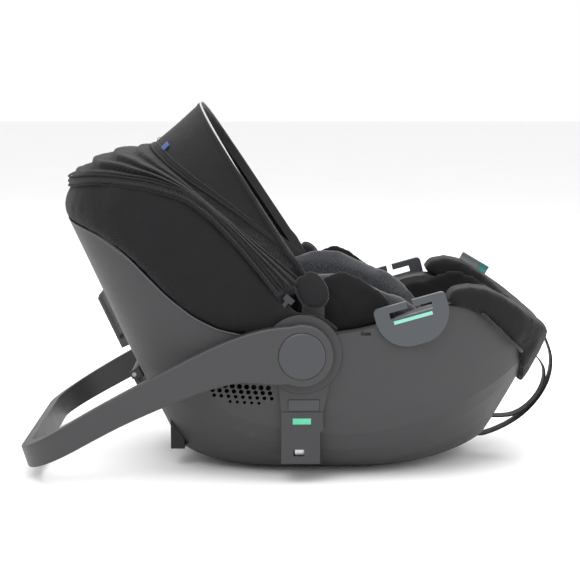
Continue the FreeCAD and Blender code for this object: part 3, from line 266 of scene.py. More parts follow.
@dataclass(frozen=True)
class Plastic:
    """Moulded plastic with a fine grain, slight mottling and edges painted lighter, partly as rubbed wear and
    partly as a painted highlight.
    """

    name: str
    colour: Colour
    roughness: float = 0.5
    grain: float = 0.00006
    grain_scale: float = 1600.0
    edge_round: float = 0.0008
    # how much lighter the edges are painted: partly rubbed wear, partly a painted edge highlight
    edge_wear_and_highlight: float = 1.5
    coat: float = 0.0
    mottle: float = 0.10

    def make(self) -> bpy.types.Material:
        """Builds the material.

        Returns:
            The finished material.
        """
        nodes = Nodes(self.name)
        soft_edge = nodes.add("ShaderNodeBevel", samples=4, Radius=self.edge_round)
        true_normal = nodes.add("ShaderNodeNewGeometry").outputs["Normal"]
        facing = nodes.add("ShaderNodeVectorMath", operation="DOT_PRODUCT")
        nodes.link(soft_edge.outputs["Normal"], facing.inputs[0])
        nodes.link(true_normal, facing.inputs[1])
        edge = nodes.maths("SUBTRACT", 1.0, facing.outputs["Value"])
        edge = nodes.maths("MULTIPLY", edge, 6.0)
        edge = nodes.maths("MINIMUM", edge, 1.0)
        worn_and_highlit_edges = nodes.maths("MULTIPLY", edge, nodes.noise(60, 4))
        clouds = nodes.noise(9, 4)
        dark, light = shade(self.colour, 1 - self.mottle), shade(self.colour, 1 + self.mottle)
        base = nodes.mix(clouds, dark, light)
        specks = nodes.noise(self.grain_scale, 2)
        base = nodes.mix(nodes.span(specks, 0.0, 0.25), base, shade(self.colour, 1.5))
        # lighter colour along the edges: partly rubbed wear, partly a painted highlight
        base = nodes.mix(worn_and_highlit_edges, base, shade(self.colour, 1 + self.edge_wear_and_highlight))
        nodes.link(base, nodes.shader.inputs["Base Color"])
        rough = nodes.span(nodes.noise(26, 5), self.roughness - 0.06, self.roughness + 0.06)
        nodes.link(rough, nodes.shader.inputs["Roughness"])
        nodes.shader.inputs["Coat Weight"].default_value = self.coat
        nodes.shader.inputs["Coat Roughness"].default_value = 0.12
        nodes.bumps([(specks, self.grain, 0.5)], soft_edge.outputs["Normal"])
        return nodes.material


@dataclass(frozen=True)
class Cloth:
    """Woven or knitted cloth with threads, sheen, fading and soft creases."""

    name: str
    colour: Colour
    second: Colour
    pitch: float = 0.0009
    depth: float = 0.00025
    roughness: float = 0.88
    sheen: float = 0.25
    crease: float = 0.0012
    crease_scale: float = 26.0
    speckle: float = 0.0
    speckle_scale: float = 700.0
    stretch: Point = (1.0, 1.0, 1.0)

    def make(self) -> bpy.types.Material:
        """Builds the material.

        Returns:
            The finished material.
        """
        nodes = Nodes(self.name)
        warp = nodes.threads(self.pitch, (0.3, 0.2, 0.78))
        weft = nodes.threads(self.pitch, (0.2, 0.9, -0.78))
        weave = nodes.maths("MULTIPLY", warp, weft)
        fading = nodes.noise(14, 5)
        base = nodes.mix(fading, shade(self.colour, 0.82), shade(self.colour, 1.2))
        base = nodes.mix(nodes.span(weave, 0.0, 0.7), base, self.second)
        if self.speckle:
            fibres = nodes.noise(self.speckle_scale, 2, self.stretch)
            flecks = nodes.ramp(fibres, [(0.42, (0, 0, 0)), (0.58, (1, 1, 1))])
            share = nodes.maths("MULTIPLY", flecks, self.speckle)
            base = nodes.mix(share, base, shade(self.second, 1.9))
        nodes.link(base, nodes.shader.inputs["Base Color"])
        rough = nodes.span(nodes.noise(40, 3), self.roughness - 0.05, min(1.0, self.roughness + 0.06))
        nodes.link(rough, nodes.shader.inputs["Roughness"])
        nodes.shader.inputs["Sheen Weight"].default_value = self.sheen
        nodes.shader.inputs["Sheen Roughness"].default_value = 0.45
        nodes.shader.inputs["Specular IOR Level"].default_value = 0.25
        folds = nodes.noise(self.crease_scale, 3, (1.0, 1.0, 1.4))
        nodes.bumps([(folds, self.crease * 8, 0.35), (weave, self.depth, 0.6)])
        return nodes.material


@dataclass(frozen=True)
class Metal:
    """Plated metal with fine brushing and dull spots."""

    name: str
    colour: Colour
    roughness: float = 0.32

    def make(self) -> bpy.types.Material:
        """Builds the material.

        Returns:
            The finished material.
        """
        nodes = Nodes(self.name)
        brushing = nodes.noise(220, 3, (1, 14, 1))
        base = nodes.mix(brushing, shade(self.colour, 0.8), shade(self.colour, 1.15))
        nodes.link(base, nodes.shader.inputs["Base Color"])
        nodes.shader.inputs["Metallic"].default_value = 1.0
        rough = nodes.span(nodes.noise(35, 4), self.roughness - 0.08, self.roughness + 0.12)
        nodes.link(rough, nodes.shader.inputs["Roughness"])
        nodes.bumps([(brushing, 0.00004, 0.4)])
        return nodes.material


@dataclass(frozen=True)
class BeadFoam:
    """Moulded bead foam, with its round cells."""

    name: str
    colour: Colour

    def make(self) -> bpy.types.Material:
        """Builds the material.

        Returns:
            The finished material.
        """
        nodes = Nodes(self.name)
        cells = nodes.add("ShaderNodeTexVoronoi", Scale=260.0)
        nodes.link(nodes.place, cells.inputs["Vector"])
        base = nodes.mix(cells.outputs["Distance"], self.colour, shade(self.colour, 0.7))
        nodes.link(base, nodes.shader.inputs["Base Color"])
        nodes.link(nodes.span(nodes.noise(30, 3), 0.7, 0.9), nodes.shader.inputs["Roughness"])
        nodes.bumps([(cells.outputs["Distance"], 0.0006, 0.5)])
        return nodes.material


@dataclass(frozen=True)
class Lens:
    """A clear coloured window with a rounded, glossy face."""

    name: str
    colour: Colour

    def make(self) -> bpy.types.Material:
        """Builds the material.

        Returns:
            The finished material.
        """
        nodes = Nodes(self.name)
        depth = nodes.noise(90, 2)
        base = nodes.mix(depth, shade(self.colour, 0.75), shade(self.colour, 1.25))
        nodes.link(base, nodes.shader.inputs["Base Color"])
        nodes.link(nodes.span(nodes.noise(50, 3), 0.12, 0.24), nodes.shader.inputs["Roughness"])
        nodes.shader.inputs["Coat Weight"].default_value = 0.8
        nodes.shader.inputs["Coat Roughness"].default_value = 0.05
        nodes.bumps([(depth, 0.0001, 0.3)])
        return nodes.material


FINISHES = {
    "shell_plastic": Plastic("moulded_shell", (0.0205, 0.0208, 0.0225), 0.55, mottle=0.06),
    "handle_plastic": Plastic("moulded_handle", (0.0215, 0.0218, 0.0235), 0.48, mottle=0.05),
    "button_plastic": Plastic("satin_button", (0.0255, 0.027, 0.031), 0.44, grain=0.00003),
    "guide_plastic": Plastic("satin_guide", (0.036, 0.040, 0.046), 0.38, grain=0.00003, edge_wear_and_highlight=2.6),
    "mint_plastic": Plastic("satin_mint", (0.16, 0.42, 0.33), 0.35, coat=0.2),
    "lens": Lens("green_window", (0.03, 0.36, 0.20)),
    "foam": BeadFoam("bead_foam", (0.030, 0.030, 0.032)),
    "cover_fabric": Cloth("cover_weave", (0.0042, 0.0040, 0.0048), (0.0100, 0.0095, 0.0110), sheen=0.07),
    "canopy_fabric": Cloth("canopy_weave", (0.0048, 0.0048, 0.0056), (0.0110, 0.0110, 0.0128), pitch=0.0007,
                           roughness=0.78, sheen=0.07, crease=0.0008),
    "gather_mesh": Cloth("gathered_mesh", (0.0034, 0.0034, 0.0040), (0.0125, 0.0125, 0.0140), pitch=0.0016,
                         depth=0.0005, sheen=0.09, crease=0.0018),
    "melange_fabric": Cloth("melange_jersey", (0.017, 0.017, 0.020), (0.036, 0.037, 0.041), pitch=0.0011,
                            speckle=0.65, speckle_scale=900, stretch=(1, 1.8, 0.6), sheen=0.2),
    "pad_fabric": Cloth("pad_weave", (0.0055, 0.0055, 0.0065), (0.013, 0.013, 0.015), pitch=0.0012,
                        sheen=0.1),
    "webbing": Cloth("ribbed_webbing", (0.0045, 0.0045, 0.0052), (0.017, 0.017, 0.019), pitch=0.0016,
                     depth=0.0006, roughness=0.6, sheen=0.06, crease=0.0002),
    "tab_fabric": Cloth("tab_weave", (0.10, 0.11, 0.11), (0.17, 0.18, 0.18), pitch=0.0006, crease=0.0003),
    "teal_fabric": Cloth("teal_weave", (0.03, 0.15, 0.14), (0.06, 0.24, 0.22), pitch=0.0006, crease=0.0003),
    "patch_fabric": Cloth("patch_weave", (0.02, 0.05, 0.16), (0.05, 0.10, 0.26), pitch=0.0006, crease=0.0003),
    "metal": Metal("plated_steel", (0.50, 0.51, 0.53)),
    "zip_metal": Metal("blackened_zip", (0.055, 0.055, 0.06), 0.38),
    "nylon": Plastic("dark_nylon", (0.022, 0.022, 0.023), 0.45),
    "buckle_plastic": Plastic("gloss_black", (0.010, 0.010, 0.011), 0.32, coat=0.15),
    "red_plastic": Plastic("gloss_red", (0.36, 0.015, 0.015), 0.30, coat=0.3),
    "rubber": Plastic("foot_rubber", (0.008, 0.008, 0.008), 0.72, grain=0.0001, edge_wear_and_highlight=0.6),
    "piping": Cloth("light_piping", (0.36, 0.36, 0.37), (0.52, 0.52, 0.53), pitch=0.0008,
                    crease=0.0002, sheen=0.1),
    "seam_thread": Cloth("seam_thread", (0.010, 0.010, 0.011), (0.030, 0.030, 0.033), pitch=0.0007,
                         crease=0.0002),
}
_made: dict[str, bpy.types.Material] = {}


def finish(name: str) -> bpy.types.Material:
    """The material of a finish, built once."""
    if name not in _made:
        _made[name] = FINISHES[name].make()
    return _made[name]


def new_object(name: str, vertices: list[Vector], faces: list[list[int]], look: str) -> bpy.types.Object:
    """Makes a mesh object in the scene.

    Args:
        name: the piece's name.
        vertices: points in metres.
        faces: lists of vertex numbers.
        look: the finish's name.

    Returns:
        The new object.
    """
    mesh = bpy.data.meshes.new(name)
    mesh.from_pydata([tuple(v) for v in vertices], [], faces)
    work = bmesh.new()
    work.from_mesh(mesh)
    bmesh.ops.recalc_face_normals(work, faces=work.faces)
    work.to_mesh(mesh)
    work.free()
    mesh.materials.append(finish(look))
    mesh.polygons.foreach_set("use_smooth", [True] * len(mesh.polygons))
    piece = bpy.data.objects.new(name, mesh)
    bpy.context.scene.collection.objects.link(piece)
    return piece


def tree_of(*pieces: bpy.types.Object) -> BVHTree:
    """A search tree over the meshes of some objects, in the row frame."""
    vertices, faces = [], []
    for piece in pieces:
        start = len(vertices)
        vertices += [piece.matrix_world @ v.co for v in piece.data.vertices]
        faces += [[start + n for n in p.vertices] for p in piece.data.polygons]
    return BVHTree.FromPolygons(vertices, faces)


def resample(points: list[Vector], step: float) -> list[Vector]:
    """Spaces a line's points evenly.

    Args:
        points: the line's points.
        step: the wanted distance between them.

    Returns:
        Points along the same line.
    """
    lengths = [0.0]
    for a, b in zip(points, points[1:]):
        lengths.append(lengths[-1] + (b - a).length)
    count = max(2, round(lengths[-1] / step))
    spaced, at = [], 0
    for number in range(count + 1):
        want = lengths[-1] * number / count
        while at < len(points) - 2 and lengths[at + 1] < want:
            at += 1
        part = (want - lengths[at]) / max(1e-9, lengths[at + 1] - lengths[at])
        spaced.append(points[at].lerp(points[at + 1], min(1.0, part)))
    return spaced


def soften_line(points: list[Vector], rounds: int) -> list[Vector]:
    """Smooths a line between its ends."""
    line = list(points)
    for _ in range(rounds):
        middle = [(a + b * 2 + c) / 4 for a, b, c in zip(line, line[1:], line[2:])]
        line = [line[0], *middle, line[-1]]
    return line


def tube(name: str, line: list[Vector], radius: float, look: str, sides: int = 8, flat: float = 1.0,
         out: Vector | None = None) -> bpy.types.Object:
    """A round or flattened tube along a line, with closed ends.

    Args:
        name: the piece's name.
        line: points in the row frame.
        radius: half the tube's width.
        look: the finish's name.
        sides: how many sides the tube has.
        flat: its thickness as a share of its width.
        out: the way its thin side faces.

    Returns:
        The new object.
    """
    vertices, faces = [], []
    up = out or Vector((0, 0, 1))
    for number, point in enumerate(line):
        ahead = (line[min(number + 1, len(line) - 1)] - line[max(number - 1, 0)]).normalized()
        side = ahead.cross(up)
        side = side.normalized() if side.length > 1e-4 else Vector((0, 1, 0))
        face = side.cross(ahead).normalized()
        for step in range(sides):
            turn = math.tau * step / sides
            across, proud = math.cos(turn) * radius, math.sin(turn) * radius * flat
            vertices.append(point + side * across + face * proud)
    for ring in range(len(line) - 1):
        for step in range(sides):
            a, b = ring * sides + step, ring * sides + (step + 1) % sides
            faces.append([a, b, b + sides, a + sides])
    faces += [list(range(sides)), list(range(len(vertices) - sides, len(vertices)))]
    return new_object(name, vertices, faces, look)


def slab(name: str, grid: list[list[Vector]], thick: float, look: str) -> bpy.types.Object:
    """A thin closed sheet over a grid of points.

    Args:
        name: the piece's name.
        grid: rows of points; all rows have the same count.
        thick: the sheet's thickness.
        look: the finish's name.

    Returns:
        The new object.
    """
    rows, columns = len(grid), len(grid[0])
    flat = [point for row in grid for point in row]
    faces = [[r * columns + c, r * columns + c + 1, (r + 1) * columns + c + 1, (r + 1) * columns + c]
             for r in range(rows - 1) for c in range(columns - 1)]
    normals = [Vector() for _ in flat]
    for face in faces:
        a, b, c, d = (flat[n] for n in face)
        normal = (c - a).cross(d - b)
        for n in face:
            normals[n] += normal
    normals = [n.normalized() if n.length > 1e-12 else Vector((0, 0, 1)) for n in normals]
    count = len(flat)
    vertices = [p + n * thick / 2 for p, n in zip(flat, normals)]
    vertices += [p - n * thick / 2 for p, n in zip(flat, normals)]
    back = [[n + count for n in reversed(face)] for face in faces]
    border = [c for c in range(columns)] + [r * columns + columns - 1 for r in range(1, rows)]
    border += [(rows - 1) * columns + c for c in range(columns - 2, -1, -1)]
    border += [r * columns for r in range(rows - 2, 0, -1)]
    rim = [[a, b, b + count, a + count] for a, b in zip(border, border[1:] + border[:1])]
    return new_object(name, vertices, faces + back + rim, look)


def between(table: tuple[tuple[float, float], ...], where: float) -> float:
    """Reads a value between the rows of a table of pairs."""
    return float(np.interp(where, [row[0] for row in table], [row[1] for row in table]))


def settle(piece: bpy.types.Object, body: Body, slot: Slot, *nodes: str) -> bpy.types.Object:
    """Puts a finished piece on its body and hides the CAD nodes it stands for.

    Args:
        piece: the finished object.
        body: the body it rides on.
        slot: the record's material slot; not used.
        nodes: CAD nodes that it replaces.

    Returns:
        The same object.
    """
    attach(piece, body.value)
    if nodes:
        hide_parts(*nodes)
    LOG.info("%s: %d points on %s", piece.name, len(piece.data.vertices), body.value)
    return piece


@dataclass
class SoftPad:
    """A padded cover made from the plain solids of one soft part."""

    name: str
    sources: tuple[str, ...]
    slot: Slot
    look: str
    voxel: float = 0.005
    puff: float = 0.0
    fill: float = 0.6
    wrinkle: float = 0.0012
    wrinkle_scale: float = 28.0
    swell: float = 0.0
    grooves: tuple[tuple[tuple[Point, ...], float, float], ...] = ()
    seed: int = 1

    def build(self) -> bpy.types.Object:
        """Remeshes, fills, creases and dresses the pad.

        Returns:
            The finished pad, on its body.
        """
        piece = self._copy()
        self._remesh(piece)
        if self.puff:
            self._blow_up(piece)
        self._crease(piece)
        piece.data.polygons.foreach_set("use_smooth", [True] * len(piece.data.polygons))
        piece.data.materials.clear()
        piece.data.materials.append(finish(self.look))
        settle(piece, Body.SEAT, self.slot, *self.sources)
        return piece

    def _copy(self) -> bpy.types.Object:
        """One welded copy of the source meshes."""
        work = bmesh.new()
        for source in self.sources:
            work.from_mesh(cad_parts[source].data)
        bmesh.ops.remove_doubles(work, verts=work.verts, dist=1e-5)
        mesh = bpy.data.meshes.new(self.name)
        work.to_mesh(mesh)
        work.free()
        piece = bpy.data.objects.new(self.name, mesh)
        bpy.context.scene.collection.objects.link(piece)
        return piece

    @staticmethod
    def _apply(piece: bpy.types.Object, kind: str, **values: object) -> None:
        """Adds one modifier and applies it at once.

        Args:
            piece: the object to change.
            kind: Blender's modifier type.
            values: the modifier's properties.
        """
        modifier = piece.modifiers.new(kind.lower(), kind)
        for key, value in values.items():
            setattr(modifier, key, value)
        graph = bpy.context.evaluated_depsgraph_get()
        made = bpy.data.meshes.new_from_object(piece.evaluated_get(graph))
        piece.modifiers.clear()
        piece.data = made

    def _remesh(self, piece: bpy.types.Object) -> None:
        """Turns the plain solid into an even, soft-edged mesh."""
        self._apply(piece, "REMESH", mode="VOXEL", voxel_size=self.voxel, use_smooth_shade=True)
        self._apply(piece, "SMOOTH", factor=0.5, iterations=5)

    def _blow_up(self, piece: bpy.types.Object) -> None:
        """Fills the cover by a cloth simulation with inner pressure, with its movement capped."""
        rest = np.array([v.co for v in piece.data.vertices], float)
        modifier = piece.modifiers.new("cloth", "CLOTH")
        settings = modifier.settings
        settings.quality = 4
        settings.mass = CLOTH_MASS
        settings.use_pressure = True
        settings.uniform_pressure_force = CLOTH_PRESSURE
        for stiffness in ("tension_stiffness", "compression_stiffness", "shear_stiffness"):
            setattr(settings, stiffness, CLOTH_STIFFNESS)
        settings.effector_weights.gravity = 0.0
        modifier.collision_settings.use_collision = False
        modifier.collision_settings.use_self_collision = False
        scene = bpy.context.scene
        scene.frame_start, scene.frame_end = 1, CLOTH_FRAMES
        modifier.point_cache.frame_start, modifier.point_cache.frame_end = 1, CLOTH_FRAMES
        for number in range(1, CLOTH_FRAMES + 1):
            scene.frame_set(number)
        graph = bpy.context.evaluated_depsgraph_get()
        made = bpy.data.meshes.new_from_object(piece.evaluated_get(graph))
        moved = np.array([v.co for v in made.vertices], float)
        piece.modifiers.clear()
        scene.frame_set(1)
        shift = moved - rest
        length = np.linalg.norm(shift, axis=1, keepdims=True)
        shift *= np.minimum(1.0, self.puff / np.maximum(length, 1e-9))
        made.vertices.foreach_set("co", (rest + shift).ravel())
        piece.data = made
        self._apply(piece, "SMOOTH", factor=0.5, iterations=2)

    def _crease(self, piece: bpy.types.Object) -> None:
        """Moves points along their normals: small wrinkles, an even swell and the sewn grooves."""
        mesh = piece.data
        places = [vertex.co.copy() for vertex in mesh.vertices]
        normals = [vertex.normal.copy() for vertex in mesh.vertices]
        offset = Vector((self.seed * 3.1, self.seed * 1.7, self.seed * 0.9))
        lines = [([Vector(p) for p in points], width, depth) for points, width, depth in self.grooves]
        moved = []
        for place, normal in zip(places, normals):
            fold = noise.fractal(place * self.wrinkle_scale + offset, 0.9, 2.1, 3)
            move = self.wrinkle * fold + self.swell
            for points, width, depth in lines:
                gap = min(self._gap(place, a, b) for a, b in zip(points, points[1:]))
                if gap < width:
                    move -= depth * (1 - gap / width) ** 1.5
            moved.append(place + normal * move)
        mesh.vertices.foreach_set("co", np.array(moved, float).ravel())
        mesh.update()

    @staticmethod
    def _gap(place: Vector, start: Vector, end: Vector) -> float:
        """The distance from a point to a stretch of line."""
        along = end - start
        share = max(0.0, min(1.0, (place - start).dot(along) / along.length_squared))
        return (place - start - along * share).length


@dataclass
class CanopyShape:
    """The arched outline that the bows give the canopy."""

    reach: float = 0.2885
    half_width: float = 0.1783
    power: float = 2.8

    def point(self, turn: float, angle: float, shrink: float = 1.0, grow: float = 0.0) -> Vector:
        """A place on the arch.

        Args:
            turn: how far along the arch, 0 at the right foot to pi at the left.
            angle: the canopy angle in degrees; 90 is upright and 180 is to the rear.
            shrink: a share of the arch's size.
            grow: added to the distance from the pivot, in metres.

        Returns:
            The point in the row frame.
        """
        c, s = math.cos(turn), max(0.0, math.sin(turn))
        out = (abs(c) ** self.power + s ** self.power) ** (-1 / self.power) * shrink
        height = self.reach * s * out + grow * s
        lean = math.radians(angle)
        across = self.half_width * c * out
        return PIVOT + Vector((height * math.cos(lean), across, height * math.sin(lean)))

    def height(self, turn: float) -> float:
        """How far from the pivot line a place on the arch is."""
        c, s = math.cos(turn), max(0.0, math.sin(turn))
        return self.reach * s * (abs(c) ** self.power + s ** self.power) ** (-1 / self.power)


# distance from the pivots, in mm, and canopy angle, in degrees, of the seam behind the front panel
SEAM_ANGLE = (
    (0, 118), (43, 119), (70, 124.5), (113, 131.6),
    (162, 135.3), (211, 138.2), (251, 139.4), (290, 139.6),
)


# the way across the plane in which the gathered cloth changes from the seat to the bows
SLAB_NORMAL = (0.629, 0, 0.777)


@dataclass
class Canopy:
    """The sun canopy: a smooth front panel on its bows and a gathered rear down to the zip."""

    shape: CanopyShape = field(default_factory=CanopyShape)
    front_angle: float = 122.2
    panel_rows: int = 14
    columns: int = 96
    cloth: float = 0.0014
    slab_angle: float = 141.0
    slab_half: float = 0.0045
    slab_rows: int = 20
    bunch_rows: int = 46

    def build(self) -> None:
        """Builds every canopy piece in order."""
        self.panel()
        self.gather(zip_curve(0.002, 0.0008))
        self.hem()
        self.lobes()
        self.patch()

    def _turns(self) -> list[float]:
        """The places along the arch, closer together near the feet."""
        low = 0.055
        return [low + (math.pi - 2 * low) * n / self.columns for n in range(self.columns + 1)]

    def _seam(self, turn: float) -> float:
        """The seam's canopy angle at a place along the arch."""
        return between(SEAM_ANGLE, self.shape.height(turn) * 1000)

    def panel(self) -> bpy.types.Object:
        """The front panel, taut over the two bows.

        Returns:
            The panel.
        """
        grid = []
        for row in range(self.panel_rows + 1):
            share = row / self.panel_rows
            line = []
            for turn in self._turns():
                seam = self._seam(turn)
                front = min(self.front_angle, seam - 1.0)
                sag = 1 - 0.014 * math.sin(math.pi * share) * math.sin(turn)
                line.append(self.shape.point(turn, front + (seam - front) * share, sag, 0.0008))
            grid.append(line)
        panel = slab("canopy_panel", grid, self.cloth, "canopy_fabric")
        settle(panel, Body.CANOPY, Slot.CANOPY, "canopy_front_cloth")
        return panel

    def gather(self, zip_line: list[Vector]) -> bpy.types.Object:
        """The gathered cloth from the panel's seam down to the zip.

        Args:
            zip_line: the zip's curve from the right pivot round the head end to the left one.

        Returns:
            The gathered cloth.
        """
        turns = self._turns()
        goal = resample(zip_line, 0.0005)
        grid: list[list[Vector]] = [[] for _ in range(self.slab_rows + self.bunch_rows + 2)]
        lean = math.radians(self.slab_angle)
        across = Vector((-math.sin(lean), 0, math.cos(lean)))
        for number, turn in enumerate(turns):
            seam = self._seam(turn)
            start = self.shape.point(turn, seam, 1.0, 0.0004)
            height = self.shape.height(turn)
            tall = math.sin(turn) ** 0.5
            first = self.shape.point(turn, self.slab_angle, 1.0, 0.001) + across * self.slab_half * 1.05
            last = self.shape.point(turn, self.slab_angle, 1.0, 0.003) - across * self.slab_half * 1.05
            grid[0].append(start)
            for row in range(self.slab_rows + 1):
                share = row / self.slab_rows
                place = first.lerp(last, share)
                ripple = 0.0018 * (1 if row % 2 else -1) * tall
                grid[row + 1].append(place + (place - PIVOT).normalized() * ripple)
            end = goal[round((len(goal) - 1) * number / self.columns)]
            drop = end - last
            away = (last - PIVOT)
            away = away.normalized() if away.length > 1e-6 else Vector((0, 0, 1))
            side = Vector((0, math.copysign(1.0, math.cos(turn)), 0))
            up = (away * tall + side * abs(math.cos(turn)) ** 3).normalized()
            wave = noise.noise(Vector((number * 0.11, 0.3, 2.0)))
            fine = noise.noise(Vector((number * 0.45, 7.3, 1.0)))
            size = min(1.0, drop.length / 0.05)
            for row in range(1, self.bunch_rows + 1):
                share = row / self.bunch_rows
                place = last + drop * share
                fold = math.sin(share * math.pi * 7 + wave * 2.2) * 0.0042 + fine * 0.0016
                crown = math.sin(share * math.pi) * 0.010 * (0.35 + 0.65 * tall)
                fade = min(1.0, 6 * share, 8 * (1 - share))
                lift = (crown + fold * fade) * size
                grid[self.slab_rows + 1 + row].append(place + up * lift)
        gather = slab("canopy_gather", grid, self.cloth, "gather_mesh")
        ahead = Vector(SLAB_NORMAL) * self.slab_half
        start, end = PIVOT - ahead, PIVOT + ahead
        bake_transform(gather)
        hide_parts("canopy_rear_cloth")
        LOG.info("canopy_gather: %d points between seat and canopy", len(gather.data.vertices))
        return gather

    def hem(self) -> None:
        """The front hem on its bow, its light piping and the stitched seam behind the panel."""
        turns = self._turns()
        hem = [self.shape.point(turn, min(self.front_angle + 0.4, self._seam(turn) - 0.5), 0.994)
               for turn in turns]
        settle(tube("canopy_hem", hem, 0.0042, "canopy_fabric", 10), Body.CANOPY, Slot.CANOPY)
        pipe = [self.shape.point(turn, min(self.front_angle - 0.3, self._seam(turn) - 1.2), 1.0, 0.0022)
                for turn in turns]
        settle(tube("canopy_piping", pipe, 0.0013, "piping"), Body.CANOPY, Slot.TAB)
        seam = [self.shape.point(turn, self._seam(turn), 1.0, 0.0022) for turn in turns]
        settle(tube("canopy_seam", seam, 0.0017, "canopy_fabric"), Body.CANOPY, Slot.CANOPY)
        inner = [self.shape.point(turn, self._seam(turn) - 2.2, 1.0, 0.0016) for turn in turns[6:-6]]
        settle(tube("canopy_stitch", inner, 0.0005, "seam_thread", 6), Body.CANOPY, Slot.CANOPY)

    def lobes(self) -> None:
        """The rounded cloth lobes that cover the two pivots, edged with a thin tube in the seam thread's
        finish.
        """
        outline = ((-22, 18), (-13, 27), (-2, 31), (10, 23), (19, 8),
                   (20, -8), (11, -18), (-3, -19), (-14, -13), (-23, 2))
        for side, name in ((-1, "left"), (1, "right")):
            face = side * 0.1905
            ring = [PIVOT + Vector((x * MM, face, z * MM)) for x, z in outline]
            ring = soften_line(resample(ring + [ring[0]], 0.003), 6)[:-1]
            count = len(ring)
            centre = sum(ring, Vector()) / count
            vertices, faces = [], []
            layers = ((0.6, 0.0035), (0.88, 0.0026), (1.0, 0.0), (0.9, -0.006), (0.7, -0.009))
            for share, out in layers:
                vertices += [centre.lerp(p, share) + Vector((0, side * out, 0)) for p in ring]
            vertices += [centre + Vector((0, side * 0.0040, 0)), centre - Vector((0, side * 0.009, 0))]
            for layer in range(len(layers) - 1):
                for n in range(count):
                    a, b = layer * count + n, layer * count + (n + 1) % count
                    faces.append([a, b, b + count, a + count])
            top, bottom = len(vertices) - 2, len(vertices) - 1
            last = (len(layers) - 1) * count
            for n in range(count):
                faces.append([n, (n + 1) % count, top])
                faces.append([last + n, last + (n + 1) % count, bottom])
            lobe = new_object(f"canopy_lobe_{name}", vertices, faces, "canopy_fabric")
            settle(lobe, Body.CANOPY, Slot.CANOPY)
            edge = [p + Vector((0, side * 0.0008, 0)) for p in ring[count // 8:] + ring[:count // 12]]
            bound = tube(f"canopy_lobe_edge_{name}", edge, 0.0012, "seam_thread")
            settle(bound, Body.CANOPY, Slot.CANOPY)

    def patch(self) -> None:
        """A small plain woven tab sewn to the top of the front panel near its seam."""
        grid = []
        for row in range(5):
            line = []
            for column in range(9):
                turn = math.pi / 2 + 0.50 + 0.055 * (column / 8 - 0.5)
                angle = self._seam(turn) - 4.4 + 2.4 * row / 4
                line.append(self.shape.point(turn, angle, 1.0, 0.0026))
            grid.append(line)
        settle(slab("canopy_patch", grid, 0.0012, "patch_fabric"), Body.CANOPY, Slot.TAB)


_zip_tree: list[BVHTree] = []


def zip_curve(lift: float, out: float) -> list[Vector]:
    """The zip's curve on the head cover's top edge.

    Args:
        lift: height above the cover's edge, in metres.
        out: distance off the cover's outer face, in metres.

    Returns:
        Points from the right pivot round the head end to the left one.
    """
    if not _zip_tree:
        _zip_tree.append(tree_of(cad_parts["head_cover"]))
    tree = _zip_tree[0]
    side: list[Vector] = []
    for share in np.linspace(0, 1, 60):
        x = -0.014 + share * (-0.235 + 0.014)
        z = between(tuple(sorted(ZIP_LINE)), x * 1000) * MM
        hit = tree.ray_cast(Vector((x, CAST_FROM, z - 0.004)), Vector((0, -1, 0)))[0]
        if hit:
            side.append(Vector((x, hit.y + out, z + lift)))
    edge_y = side[-1].y
    rear: list[Vector] = []
    for share in np.linspace(0.86, -0.86, 40):
        y = share * edge_y
        hit = tree.ray_cast(Vector((-0.45, y, 0.389)), Vector((1, 0, 0)))[0]
        if hit:
            z = between(tuple(sorted(ZIP_LINE)), max(-300.0, hit.x * 1000)) * MM
            rear.append(Vector((hit.x - out, y, z + lift)))
    left = [Vector((p.x, -p.y, p.z)) for p in reversed(side)]
    return soften_line(resample(side + rear + left, 0.006), 4)


